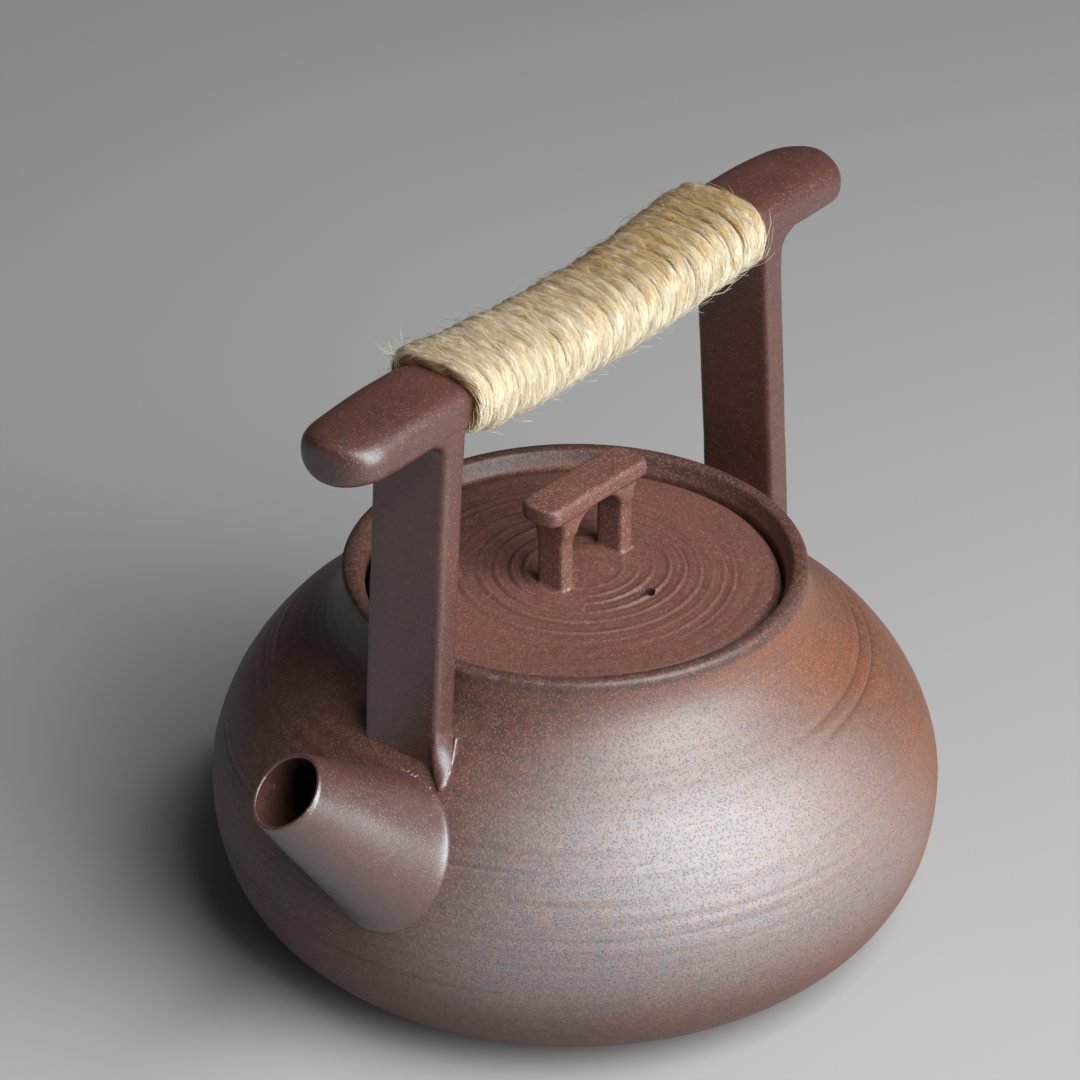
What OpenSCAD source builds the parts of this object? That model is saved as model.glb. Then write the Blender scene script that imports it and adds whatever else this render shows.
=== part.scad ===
// Stoneware teapot with an overhead handle: a thrown body with its collar, a luted spout,
// two slab posts that carry a twine-wrapped bar, and a loose lid with a bridge knob.
// Millimetres. +X points to the spout, +Z is up, the origin is the middle of the base.

/* [Body] */
// Widest diameter of the thrown body
body_w = 150; // [140:1:160]
// Height of the widest line above the table
belly_h = 30.5; // [28:0.5:33]
// Diameter of the flat base
foot_w = 92; // [84:1:100]
// Diameter to which the shoulder would close
neck_w = 85.8; // [80:0.2:90]
// Height at which the shoulder would close
neck_h = 66.5; // [64:0.5:69]
// Thickness of the thrown wall
wall = 5; // [4:0.5:6]
// Thickness of the base
floor_t = 6; // [4:0.5:8]

/* [Collar] */
// Outer diameter of the rim
rim_w = 94.6; // [90:0.2:98]
// Height of the rim above the table
rim_h = 79.4; // [77:0.2:84]
// Width of the rim, from outside to inside
rim_t = 4.7; // [3.5:0.1:6]
// How far the collar's foot spreads past the rim
collar_flare = 4.2; // [3.4:0.1:5]
// Diameter of the throat inside the lid's ledge
throat_w = 75; // [70:0.5:77]

/* [Lid] */
// Depth of the lid's top below the rim
lid_drop = 3; // [2:0.1:4]
// Thickness of the lid
lid_t = 4.4; // [3.5:0.1:5]
// Radius of the lid's rounded edge
lid_round = 2.8; // [1.5:0.1:3.2]
// Gap between the lid and the collar round it
lid_gap = 0.8; // [0.5:0.1:1.5]
// Gap between the lid and the ledge under it
seat_gap = 0.3; // [0.2:0.05:0.5]
// Height of the ring under the lid
flange_h = 8; // [5:0.5:11]
// Thickness of the ring under the lid
flange_t = 3.2; // [2.5:0.1:4.5]
// Diameter of the steam hole
steam_d = 2.7; // [2:0.1:4]
// Distance of the steam hole from the middle of the lid
steam_out = 16.6; // [14:0.2:24]
// Direction of the steam hole, from the spout
steam_turn = 98; // [60:1:120]

/* [Knob] */
// Length of the knob's bar
knob_l = 32; // [28:0.5:38]
// Width of the knob's bar
knob_w = 9.6; // [8:0.2:12]
// Thickness of the knob's bar
knob_t = 4; // [3:0.1:5]
// Height of the knob over the lid
knob_h = 20.8; // [17:0.2:24]
// Distance between the middles of the knob's legs
knob_span = 19.4; // [16:0.2:22]
// Thickness of a knob leg
leg_t = 3.8; // [2.6:0.1:4.4]
// Width of a knob leg
leg_w = 6.8; // [5:0.1:7.6]
// How far the knob stands behind the middle of the lid
knob_back = 3.3; // [0:0.1:5]

/* [Spout] */
// How far the middle of the spout's mouth stands out past the belly
spout_out = 14.6; // [10:0.1:20]
// Height of the middle of the spout's mouth
mouth_h = 69.8; // [64:0.2:76]
// Slope of the spout's axis
spout_rise = 43.5; // [42:0.5:50]
// Turn of the spout's axis away from the handle's plane
spout_turn = -11; // [-15:0.5:0]
// Outer diameter of the spout's mouth
mouth_w = 16.3; // [13:0.1:18]
// Width of the spout's lip
lip_t = 1.8; // [1.4:0.1:2.6]
// Half the angle of the spout's cone
spout_flare = 11.9; // [11:0.1:15]
// Diameter of the port in the body wall behind the spout
port_w = 18; // [14:0.5:20]
// Outer diameter of the strainer dome behind the port
dome_w = 27; // [24:0.5:30]
// Thickness of the strainer dome
dome_t = 2.4; // [2:0.1:3]
// Diameter of a strainer hole
dome_hole = 2.4; // [1.6:0.1:3]

/* [Handle] */
// Length of the bar over the tips
bar_l = 157; // [148:1:166]
// Width of the bar
bar_w = 19; // [17:0.5:22]
// Thickness of the bar
bar_t = 8.5; // [7:0.1:10]
// Height of the bar's top over the posts
bar_h = 141; // [134:0.5:150]
// How far the bar's middle hangs below its ends
bar_sag = 3.2; // [1:0.1:5]
// How much narrower the bar is in the middle
bar_waist = 2.6; // [0:0.1:4]
// How far the tips droop
tip_droop = 1.2; // [0:0.1:2]
// Distance between the middles of the posts' tops
post_span = 101.8; // [98:0.2:108]
// Thickness of a post
post_t = 6; // [5:0.1:8]
// Width of a post
post_w = 18.4; // [15:0.1:18.4]
// How far a post leans out towards its foot
post_lean = 4.3; // [2:0.1:6]
// Radius of the fillet between a post and the overhang
post_fillet = 4; // [2:0.1:6]
// How far the handle's middle stands behind the body's axis
handle_back = 3; // [0:0.1:4]

/* [Twine] */
// Diameter of the twine
twine_d = 3.4; // [2.8:0.1:3.4]
// Turns of the twine
twine_turns = 21; // [16:1:21]
// Gap between the twine and the clay
twine_gap = 0.3; // [0.2:0.05:0.5]

/* [Hidden] */

clay = [0.38, 0.24, 0.2];
dark_clay = [0.3, 0.19, 0.19];
red_clay = [0.42, 0.25, 0.2];
straw = [0.8, 0.68, 0.48];

$fn = 96;
// Roundness of the body's two curves: 2 is an ellipse, more is fuller
foot_power = 2.35;
shoulder_power = 1.78;
curve_steps = 14;
arc_steps = 6;
hole_sides = 32;
// Points round the ring of a slab or of the bar
ring_sides = 24;
// How far a cut runs past a face
over = 1;

belly_r = body_w / 2;
foot_r = foot_w / 2;
neck_r = neck_w / 2;
rim_r = rim_w / 2;
throat_r = throat_w / 2;
collar_foot_r = rim_r + collar_flare;
cut_angle = acos(pow((collar_foot_r - neck_r) / (belly_r - neck_r), shoulder_power / 2));
collar_foot_h = belly_h + (neck_h - belly_h) * pow(sin(cut_angle), 2 / shoulder_power);
cavity_h = neck_h - wall;

rim_in_r = rim_r - rim_t;
// Largest rounding of the rim and the flat left on its top
rim_round_most = 2.2;
rim_flat = 0.2;
rim_round = min(rim_round_most, (rim_t - rim_flat) / 2);
// How far the collar's waist lies inside and under the rim
collar_tuck = 0.5;
waist_drop = 2;
waist_r = rim_r - collar_tuck;
waist_h = rim_h - rim_round - waist_drop;
lid_top = rim_h - lid_drop;
lid_bottom = lid_top - lid_t;
ledge_h = lid_bottom - seat_gap;
lid_r = rim_in_r - lid_gap;
flange_r = throat_r - lid_gap;

mouth_x = belly_r + spout_out;
mouth_r = mouth_w / 2;
spout_grow = tan(spout_flare);
spout_len = (mouth_h - belly_h) / sin(spout_rise);
bore_r = mouth_r - lip_t;
// Depth along the spout's axis at which it comes out of the wall, where the dome is centred
depth_step = 0.5;
function axis_r(s) = norm([mouth_x - s * cos(spout_rise) * cos(spout_turn),
    s * cos(spout_rise) * sin(spout_turn)]);
wall_depths = [for (s = [0 : depth_step : spout_len])
    if (axis_r(s) <= cavity_r(mouth_h - s * sin(spout_rise))) s];
dome_depth = min(wall_depths);
dome_middle = [mouth_x - dome_depth * cos(spout_rise) * cos(spout_turn),
    -dome_depth * cos(spout_rise) * sin(spout_turn), mouth_h - dome_depth * sin(spout_rise)];
// Rows of strainer holes: angle off the dome's axis and number in the row
dome_rows = [[0, 1], [30, 6], [58, 10]];

bar_half = bar_l / 2;
bar_under = bar_h - bar_t;
// Share of the bar's width that each tip rounds off, and the angle where its curve stops
tip_share = 0.45;
tip_reach = 84;
tip_round = bar_w * tip_share;
// Squareness of the tip's outline and of the bar's section: 2 is an ellipse
tip_power = 2.5;
bar_power = 4;
bar_steps = 14;
tip_steps = 6;
post_top_u = post_span / 2;
// How far a post's blank runs up into the bar before it is cut to it
post_rise = 2.5;
post_foot_h = belly_h;
post_round = 1.3;
post_in_u = post_top_u - post_t / 2;
wrap_half = post_in_u;

twine_r = twine_d / 2;
twine_sides = 6;
twine_rings = 24;
twine_bend = 3;
bend_angles = [22.5, 45, 67.5];
twine_off = twine_r + twine_gap;
twine_end_u = post_in_u - twine_gap;
twine_start_u = twine_end_u - twine_d - twine_bend;
twine_pitch = 2 * twine_start_u / twine_turns;

knob_top = lid_top + knob_h;
knob_under = knob_top - knob_t;
knob_round = 1.3;
knob_fillet = 3.6;
leg_round = leg_t / 3;
// Share of the knob's width that each end rounds off, and its least width there
knob_end_share = 0.35;
knob_end_least = 0.3;
knob_end = knob_w * knob_end_share;

// Inside radius of the body at a height above the belly
function cavity_r(h) = let (part = max(0, h - belly_h) / (cavity_h - belly_h))
    throat_r + (belly_r - wall - throat_r)
        * pow(max(0, 1 - pow(part, shoulder_power)), 1 / shoulder_power);

// Half outline from the base up to the belly
function lower_curve(foot, belly, base_h) = [for (i = [0 : curve_steps])
    let (a = 90 - 90 * i / curve_steps)
    [foot + (belly - foot) * pow(cos(a), 2 / foot_power),
        belly_h - (belly_h - base_h) * pow(sin(a), 2 / foot_power)]];

// Half outline from the belly up the shoulder, as far as an angle of its curve
function upper_curve(neck, belly, top_h, last) = [for (i = [1 : curve_steps])
    let (a = last * i / curve_steps)
    [neck + (belly - neck) * pow(cos(a), 2 / shoulder_power),
        belly_h + (top_h - belly_h) * pow(sin(a), 2 / shoulder_power)]];

// Points of an arc in a half outline
function arc(centre, radius, from, to) = [for (i = [0 : arc_steps])
    let (a = from + (to - from) * i / arc_steps)
    [centre[0] + radius * cos(a), centre[1] + radius * sin(a)]];

function reversed(list) = [for (i = [len(list) - 1 : -1 : 0]) list[i]];

body_outside = concat(lower_curve(foot_r, belly_r, 0),
    upper_curve(neck_r, belly_r, neck_h, cut_angle));
body_inside = concat(lower_curve(foot_r - wall, belly_r - wall, floor_t),
    upper_curve(throat_r, belly_r - wall, cavity_h, 90));

// Rounded rectangle as a closed ring of points, one quarter after another
function slab_ring(half_a, half_b, round) =
    let (r = min(round, half_a, half_b), per = ring_sides / 4)
    [for (q = [0 : 3], i = [0 : per - 1])
        let (a = 90 * q + 90 * i / (per - 1),
            sx = (q == 0 || q == 3) ? 1 : -1,
            sy = q < 2 ? 1 : -1)
        [sx * (half_a - r) + r * cos(a), sy * (half_b - r) + r * sin(a)]];

// Solid through a row of rings with the same number of points
module loft(rings) {
    sides = len(rings[0]);
    last = len(rings) - 1;
    middles = [for (ring = [rings[0], rings[last]]) [for (k = [0 : 2]) mean([for (p = ring) p[k]])]];
    points = concat([for (ring = rings, p = ring) p], middles);
    cap = len(points) - 2;
    skin = [for (i = [0 : last - 1], j = [0 : sides - 1])
        let (a = i * sides + j, b = i * sides + (j + 1) % sides)
        each [[a, a + sides, b], [b, a + sides, b + sides]]];
    ends = [for (j = [0 : sides - 1])
        let (k = (j + 1) % sides, top = last * sides)
        each [[cap, j, k], [cap + 1, top + k, top + j]]];
    polyhedron(points, concat(skin, ends));
}

function mean(list) = list * [for (v = list) 1] / len(list);

// Outer solid of the body, without its hollow
module body_envelope() {
    rotate_extrude() polygon(concat([[0, 0]], body_outside, [[0, collar_foot_h]]));
}

// Hollow of the body
module body_hollow() {
    rotate_extrude() polygon(concat([[0, floor_t]], body_inside, [[0, cavity_h]]));
}

// Moves a shape whose Z runs inwards from the spout's mouth to its place
module on_spout() {
    translate([mouth_x, 0, mouth_h]) rotate([0, -90 - spout_rise, spout_turn]) children();
}

module pot_body() {
    color(clay) difference() {
        rotate_extrude() polygon(concat([[0, 0]], body_outside, [[throat_r, collar_foot_h]],
            reversed(body_inside), [[0, floor_t]]));
        on_spout() cylinder(d = port_w, h = spout_len);
    }
}

module collar_envelope() {
    rotate_extrude() polygon(concat([[0, collar_foot_h]], collar_outside(), [[0, rim_h]]));
}

function collar_outside() = concat(
    [for (i = [0 : arc_steps])
        let (a = 90 * i / arc_steps)
        [collar_foot_r - (collar_foot_r - waist_r) * sin(a),
            waist_h - (waist_h - collar_foot_h) * cos(a)]],
    arc([rim_r - rim_round, rim_h - rim_round], rim_round, 0, 90));

module collar_ring() {
    color(dark_clay) rotate_extrude() polygon(concat([[throat_r, collar_foot_h]], collar_outside(),
        arc([rim_in_r + rim_round, rim_h - rim_round], rim_round, 90, 180),
        [[rim_in_r, ledge_h], [throat_r, ledge_h]]));
}

module spout_envelope() {
    on_spout() rotate_extrude() polygon(concat([[0, 0]],
        arc([mouth_r - lip_t / 2, lip_t / 2], lip_t / 2, -90, 0),
        [[mouth_r + spout_grow * spout_len, spout_len], [0, spout_len]]));
}

module spout() {
    color(clay) difference() {
        spout_envelope();
        on_spout() rotate_extrude() polygon([[0, -lip_t], [bore_r + lip_t / 2, -lip_t],
            [bore_r + lip_t / 2, 0], [bore_r, lip_t / 2],
            [bore_r + spout_grow * spout_len, spout_len], [0, spout_len]]);
        body_envelope();
    }
}

module strainer_dome() {
    color(clay) difference() {
        intersection() {
            translate(dome_middle) sphere(d = dome_w);
            body_hollow();
        }
        translate(dome_middle) sphere(d = dome_w - 2 * dome_t);
        on_spout() translate([0, 0, dome_depth]) for (row = dome_rows, i = [1 : row[1]])
            rotate([0, 0, 360 * i / row[1]]) rotate([0, row[0], 0]) cylinder(d = dome_hole, h = dome_w);
    }
}

// Swell that is 1 in the middle of the wrapped stretch and 0 past its ends
function swell(u) = abs(u) < wrap_half ? cos(90 * u / wrap_half) : 0;
function tip_part(u) = max(0, abs(u) - bar_half + tip_round) / tip_round;
function tip_close(u) = pow(max(0, 1 - pow(tip_part(u), tip_power)), 1 / tip_power);
function overhang(u) = max(0, abs(u) - post_top_u - post_t / 2 - post_fillet);
function bar_half_w(u) = (bar_w / 2 - bar_waist / 2 * swell(u)) * tip_close(u);
function bar_half_t(u) = bar_t / 2 * pow(tip_close(u), 1 / 2);
function bar_mid_h(u) = bar_h - bar_t / 2 - bar_sag * swell(u)
    - tip_droop * pow(overhang(u) / (bar_half - post_top_u), 2);

function signed_pow(v, e) = sign(v) * pow(abs(v), e);

// Point of the bar's skin, at a distance along the bar and a turn round it, raised off the skin
function bar_point(u, turn, off) = let (
        c = signed_pow(cos(turn), 2 / bar_power), s = signed_pow(sin(turn), 2 / bar_power),
        hw = bar_half_w(u), ht = bar_half_t(u),
        n = [signed_pow(c, bar_power - 1) / hw, signed_pow(s, bar_power - 1) / ht], nn = n / norm(n))
    [u - handle_back, hw * c + off * nn[0], bar_mid_h(u) + ht * s + off * nn[1]];

bar_tips = [for (i = [1 : tip_steps])
    bar_half - tip_round + tip_round * sin(tip_reach * i / tip_steps)];
bar_middle = [for (i = [-bar_steps : bar_steps]) (bar_half - tip_round) * i / bar_steps];
bar_stations = concat([for (u = reversed(bar_tips)) -u], bar_middle, bar_tips);

module handle_bar() {
    color(dark_clay) loft([for (u = bar_stations)
        [for (j = [0 : ring_sides - 1]) bar_point(u, 360 * j / ring_sides, 0)]]);
}

// Growth of a post's outer side where it runs into the overhang
function fillet_out(depth) = depth >= post_fillet ? 0
    : post_fillet - sqrt(pow(post_fillet, 2) - pow(post_fillet - max(0, depth), 2));

post_heights = concat([post_foot_h],
    [for (i = [arc_steps : -1 : 0]) bar_under - post_fillet * i / arc_steps],
    [bar_under + post_rise]);

// Slab post on the front (1) or rear (-1) side, shaped to what it stands on and carries
module post(side) {
    difference() {
        loft([for (h = post_heights)
            let (out = fillet_out(bar_under - h),
                u = post_top_u + (bar_under - h) * tan(post_lean) + out / 2)
            [for (p = slab_ring((post_t + out) / 2, post_w / 2, post_round))
                [side * (u + p[0]) - handle_back, side * p[1], h]]]);
        body_envelope();
        collar_envelope();
        spout_envelope();
        handle_bar();
    }
}

module front_post() {
    color(dark_clay) post(1);
}

module rear_post() {
    color(dark_clay) post(-1);
}

// Path of the twine: a straight tail from a post, a bend, the turns, a bend and a tail
tail_h = twine_start_u + twine_bend;
tail_in = [for (u = [twine_end_u, tail_h]) bar_tail(u, -twine_bend)];
bend_in = [for (a = bend_angles)
    bar_tail(tail_h - twine_bend * sin(a), -twine_bend * cos(a))];
turns_path = [for (i = [0 : twine_rings * twine_turns])
    bar_point(twine_start_u - twine_pitch * i / twine_rings, 360 * i / twine_rings - 90, twine_off)];
bend_out = [for (a = reversed(bend_angles))
    bar_tail(-tail_h + twine_bend * sin(a), twine_bend * cos(a))];
tail_out = [for (u = [-tail_h, -twine_end_u]) bar_tail(u, twine_bend)];
twine_path = concat(tail_in, bend_in, turns_path, bend_out, tail_out);

// Point of the twine where it runs under the bar
function bar_tail(u, y) = [u - handle_back, y, bar_mid_h(u) - bar_half_t(u) - twine_off];

// Direction of the twine at a point of its path, and the way from the bar's middle out to it
function twine_dir(i) =
    let (a = twine_path[max(0, i - 1)], b = twine_path[min(len(twine_path) - 1, i + 1)])
    (b - a) / norm(b - a);
function twine_side(i) =
    let (p = twine_path[i],
        c = p - [p[0], 0, bar_mid_h(p[0] + handle_back)],
        d = twine_dir(i),
        n = c - d * (c * d))
    n / norm(n);

twine_gaps = [for (i = [0 : len(twine_path) - 1])
    for (j = [i + twine_rings / 2 : min(i + 2 * twine_rings, len(twine_path) - 1)])
        norm(twine_path[i] - twine_path[j])];
echo(least_twine_gap = min(twine_gaps) - twine_d);

module twine_wrap() {
    color(straw) loft([for (i = [0 : len(twine_path) - 1])
        let (n = twine_side(i), m = cross(twine_dir(i), n))
        [for (j = [0 : twine_sides - 1])
            let (a = 360 * j / twine_sides)
            twine_path[i] + twine_r * (cos(a) * n + sin(a) * m)]]);
}

module lid_plate() {
    color(red_clay) difference() {
        rotate_extrude() polygon(concat([[0, lid_bottom], [lid_r, lid_bottom]],
            arc([lid_r - lid_round, lid_top - lid_round], lid_round, 0, 90), [[0, lid_top]]));
        rotate([0, 0, steam_turn]) translate([steam_out, 0, lid_bottom - over])
            cylinder(d = steam_d, h = lid_t + 2 * over, $fn = hole_sides);
    }
}

module lid_flange() {
    color(red_clay) translate([0, 0, lid_bottom - flange_h]) difference() {
        cylinder(r = flange_r, h = flange_h);
        translate([0, 0, -over]) cylinder(r = flange_r - flange_t, h = flange_h + 2 * over);
    }
}

leg_heights = concat([lid_top],
    [for (i = [arc_steps : -1 : 0]) knob_under - knob_fillet * i / arc_steps]);
function arch_out(depth) = depth >= knob_fillet ? 0
    : knob_fillet - sqrt(pow(knob_fillet, 2) - pow(knob_fillet - depth, 2));

// Leg of the knob, spreading into the bar like an arch
module knob_leg(side) {
    loft([for (h = leg_heights)
        let (out = arch_out(knob_under - h))
        [for (p = slab_ring(leg_t / 2 + out, leg_w / 2, leg_round))
            [side * knob_span / 2 + p[0] - knob_back, p[1], h]]]);
}

module knob_front_leg() {
    color(red_clay) knob_leg(1);
}

module knob_rear_leg() {
    color(red_clay) knob_leg(-1);
}

knob_stations = [for (i = [0 : arc_steps]) 90 * i / arc_steps];

module knob_bar() {
    ends = [for (a = knob_stations) [knob_l / 2 - knob_end + knob_end * sin(a), cos(a)]];
    rings = concat([for (r = reversed(ends)) [-r[0], r[1]]], ends);
    color(red_clay) loft([for (r = rings)
        let (close = max(knob_end_least, sqrt(r[1])))
        [for (p = slab_ring(knob_w / 2 * close, knob_t / 2, knob_round))
            [r[0] - knob_back, p[0], knob_top - knob_t / 2 + p[1]]]]);
}

pot_body();
collar_ring();
spout();
strainer_dome();
front_post();
rear_post();
handle_bar();
twine_wrap();
lid_plate();
lid_flange();
knob_front_leg();
knob_rear_leg();
knob_bar();
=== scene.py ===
"""Looks of an unglazed stoneware teapot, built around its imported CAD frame.

Lengths are metres: +X points to the spout, +Z is up and the origin is the middle of the base.
Each sub-assembly is a class that takes its places from the frame, builds its meshes and
dresses them.
"""

import logging
import math
from dataclasses import dataclass, replace
from enum import Enum

import bmesh
import bpy
import numpy as np
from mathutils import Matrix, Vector


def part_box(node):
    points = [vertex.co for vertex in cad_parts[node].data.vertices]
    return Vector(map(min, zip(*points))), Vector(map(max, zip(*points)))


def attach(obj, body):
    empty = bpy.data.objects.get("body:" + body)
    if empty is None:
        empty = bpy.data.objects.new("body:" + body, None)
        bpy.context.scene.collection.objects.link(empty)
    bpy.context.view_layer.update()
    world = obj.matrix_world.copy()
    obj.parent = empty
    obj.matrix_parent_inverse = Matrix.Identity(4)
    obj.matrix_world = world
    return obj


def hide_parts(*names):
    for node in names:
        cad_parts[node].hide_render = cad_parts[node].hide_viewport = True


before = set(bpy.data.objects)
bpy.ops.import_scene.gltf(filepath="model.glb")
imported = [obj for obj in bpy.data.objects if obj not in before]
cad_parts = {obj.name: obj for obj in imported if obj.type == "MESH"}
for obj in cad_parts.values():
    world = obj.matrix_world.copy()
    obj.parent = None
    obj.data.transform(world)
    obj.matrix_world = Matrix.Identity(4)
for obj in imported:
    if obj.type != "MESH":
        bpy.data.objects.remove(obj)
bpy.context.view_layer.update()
log = logging.getLogger("teapot")

MM = 0.001
TINY = 1e-12
CREASE = 50.0
Array = np.ndarray
Colour = tuple[float, float, float]
Span = tuple[float, float]
Triple = tuple[float, float, float]
Faces = list[tuple[int, ...]]
Skin = tuple[Array, Faces]
Mesh = bpy.types.Mesh
Material = bpy.types.Material
Node = bpy.types.Node
Socket = bpy.types.NodeSocket
Tree = bpy.types.NodeTree


# Geometry that several pieces share


def box_of(node: str) -> tuple[Array, Array]:
    """Lowest and highest corner of a CAD node, as arrays."""
    low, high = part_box(node)
    return np.array(low), np.array(high)


def unit(vectors: Array) -> Array:
    """Vectors of the last axis, scaled to length one."""
    lengths = np.linalg.norm(vectors, axis=-1, keepdims=True)
    return vectors / np.maximum(lengths, TINY)


def ease(value: Array) -> Array:
    """Smooth step from 0 to 1 while the value goes from 0 to 1."""
    part = np.clip(value, 0, 1)
    return part * part * (3 - 2 * part)


def signed_power(value: Array, power: Array) -> Array:
    """Power of a value's size, with the value's sign."""
    return np.sign(value) * np.abs(value) ** power


def around(count: int) -> Array:
    """Angles in radians, evenly spaced round one turn."""
    return np.linspace(0, math.tau, count, endpoint=False)


def hoop(turn: Array, first: Array, second: Array) -> Array:
    """Points of an ellipse about the origin, from its half axes."""
    return np.cos(turn) * first + np.sin(turn) * second


def direction(turn: float, rise: float = 0.0) -> Array:
    """Unit vector at a turn round +Z and a rise over the floor, in degrees."""
    turn, rise = math.radians(turn), math.radians(rise)
    return np.array([math.cos(rise) * math.cos(turn), math.cos(rise) * math.sin(turn), math.sin(rise)])


def run_of(line: Array) -> Array:
    """Distance along a line at each of its points."""
    return np.concatenate([[0], np.cumsum(np.linalg.norm(np.diff(line, axis=0), axis=1))])


def resample(line: Array, step: float) -> Array:
    """The same line with its points evenly spaced.

    Args:
        line: Points, one in each row.
        step: Distance wanted between points.

    Returns:
        The new points, ends included.
    """
    lengths = run_of(line)
    count = max(2, round(lengths[-1] / step) + 1)
    at = np.linspace(0, lengths[-1], count)
    return np.stack([np.interp(at, lengths, line[:, k]) for k in range(line.shape[1])], -1)


def soften(line: Array, passes: int) -> Array:
    """Line with its corners rounded by averaging, ends kept.

    Args:
        line: Points in a row.
        passes: How often each point is averaged with its neighbours.

    Returns:
        The softened points.
    """
    for _ in range(passes):
        line = np.vstack([line[:1], (line[:-2] + 2 * line[1:-1] + line[2:]) / 4, line[-1:]])
    return line


def arc(centre: Span, radius: float, start: float, end: float, count: int = 13) -> Array:
    """Points of an arc in a plane, between two angles in degrees."""
    turn = np.radians(np.linspace(start, end, count))
    return np.stack([centre[0] + radius * np.cos(turn), centre[1] + radius * np.sin(turn)], -1)


def skin(rings: Array) -> Skin:
    """Closed skin through a row of rings.

    Args:
        rings: Points of shape (rings, sides, 3).

    Returns:
        Points and faces: a quad between neighbours and a fan over each end.
    """
    rows, sides = rings.shape[:2]
    row, side = np.meshgrid(np.arange(rows - 1), np.arange(sides), indexing="ij")
    here = row * sides + side
    beside = row * sides + (side + 1) % sides
    faces = np.stack([here, beside, beside + sides, here + sides], -1).reshape(-1, 4).tolist()
    points = np.vstack([rings.reshape(-1, 3), rings[0].mean(0), rings[-1].mean(0)])
    first, last, top = rows * sides, rows * sides + 1, (rows - 1) * sides
    for j in range(sides):
        k = (j + 1) % sides
        faces += [(first, k, j), (last, top + j, top + k)]
    return points, faces


def joined(parts: list[Skin]) -> Skin:
    """Several skins as one row of points and faces.

    Args:
        parts: Skins to put together, each of points and faces.

    Returns:
        All points and all faces, counted on.
    """
    points, faces, count = [], [], 0
    for part_points, part_faces in parts:
        points.append(part_points)
        faces += [tuple(i + count for i in face) for face in part_faces]
        count += len(part_points)
    return np.vstack(points), faces


def lathe(outline: Array, sides: int, lift: Array) -> Skin:
    """Turned skin of an outline whose two ends lie on the axis.

    Args:
        outline: Radius and height of each point, from axis to axis.
        sides: Points round each ring.
        lift: Distance, of shape (inner points, sides), that moves the skin outwards.

    Returns:
        Points and faces.
    """
    along = unit(np.gradient(outline, axis=0))[1:-1]
    turn = around(sides)
    radius = outline[1:-1, 0, None] + lift * along[:, 1, None]
    height = outline[1:-1, 1, None] - lift * along[:, 0, None]
    points, faces = skin(np.stack([radius * np.cos(turn), radius * np.sin(turn), height], -1))
    points[-2:, 2] = outline[0, 1], outline[-1, 1]
    return points, faces


def rounded_ring(half_a: float, half_b: float, rounding: float, sides: int) -> Array:
    """Rounded rectangle as a closed ring of points, even round its corners.

    Args:
        half_a: Half the size along the first axis.
        half_b: Half the size along the second axis.
        rounding: Radius of the corners.
        sides: Number of points.

    Returns:
        The ring's points, two numbers each.
    """
    r = min(rounding, half_a, half_b)
    corners = [(1, 1, 0), (-1, 1, 90), (-1, -1, 180), (1, -1, 270)]
    parts = [arc((sa * (half_a - r), sb * (half_b - r)), r, a, a + 90) for sa, sb, a in corners]
    ring = np.vstack([*parts, parts[0][:1]])
    return resample(ring, run_of(ring)[-1] / sides)[:sides]


def fillet(radius: float, below: Array) -> Array:
    """How far a fillet reaches out at a distance below the face that it runs into."""
    up = np.clip(radius - below, 0, radius)
    return radius - np.sqrt(radius**2 - up**2)


def mesh_of(name: str, points: Array, faces: Faces) -> Mesh:
    """Smooth mesh of points and faces, with its normals turned outwards.

    Args:
        name: Name of the mesh.
        points: Places of its points.
        faces: Rows of point numbers.

    Returns:
        The mesh.
    """
    mesh = bpy.data.meshes.new(name)
    mesh.from_pydata(points.tolist(), [], faces)
    work = bmesh.new()
    work.from_mesh(mesh)
    bmesh.ops.recalc_face_normals(work, faces=work.faces)
    work.to_mesh(mesh)
    work.free()
    mesh.shade_smooth()
    return mesh


def placed(name: str, data: bpy.types.ID) -> bpy.types.Object:
    """New object of that data in the scene.

    Args:
        name: Name of the object.
        data: Mesh, lamp or camera that it shows.

    Returns:
        The object, linked to the scene.
    """
    obj = bpy.data.objects.new(name, data)
    bpy.context.scene.collection.objects.link(obj)
    return obj


def points_of(mesh: Mesh, kind: str = "co") -> Array:
    """Points of a mesh, one in each row, or their normals for the kind "normal".

    Args:
        mesh: Mesh to read.
        kind: What is read of each point.

    Returns:
        Three numbers for each point.
    """
    values = np.empty(len(mesh.vertices) * 3)
    mesh.vertices.foreach_get(kind, values)
    return values.reshape(-1, 3)


def moved(mesh: Mesh, points: Array) -> Mesh:
    """Mesh with its points put in new places.

    Args:
        mesh: Mesh to change.
        points: New places of its points.

    Returns:
        The same mesh.
    """
    mesh.vertices.foreach_set("co", points.ravel())
    mesh.update()
    return mesh


def evaluated(mesh: Mesh, modifiers: list[tuple[str, dict]]) -> Mesh:
    """Mesh after a row of modifiers.

    Args:
        mesh: The starting mesh, which is used up.
        modifiers: Kind and settings of each modifier, in order.

    Returns:
        The resulting mesh.
    """
    name = mesh.name
    obj = placed(name, mesh)
    for kind, settings in modifiers:
        modifier = obj.modifiers.new(kind.lower(), kind)
        for key, value in settings.items():
            setattr(modifier, key, value)
    graph = bpy.context.evaluated_depsgraph_get()
    result = bpy.data.meshes.new_from_object(obj.evaluated_get(graph))
    bpy.data.objects.remove(obj)
    bpy.data.meshes.remove(mesh)
    result.name = name
    result.shade_smooth()
    return result


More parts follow.
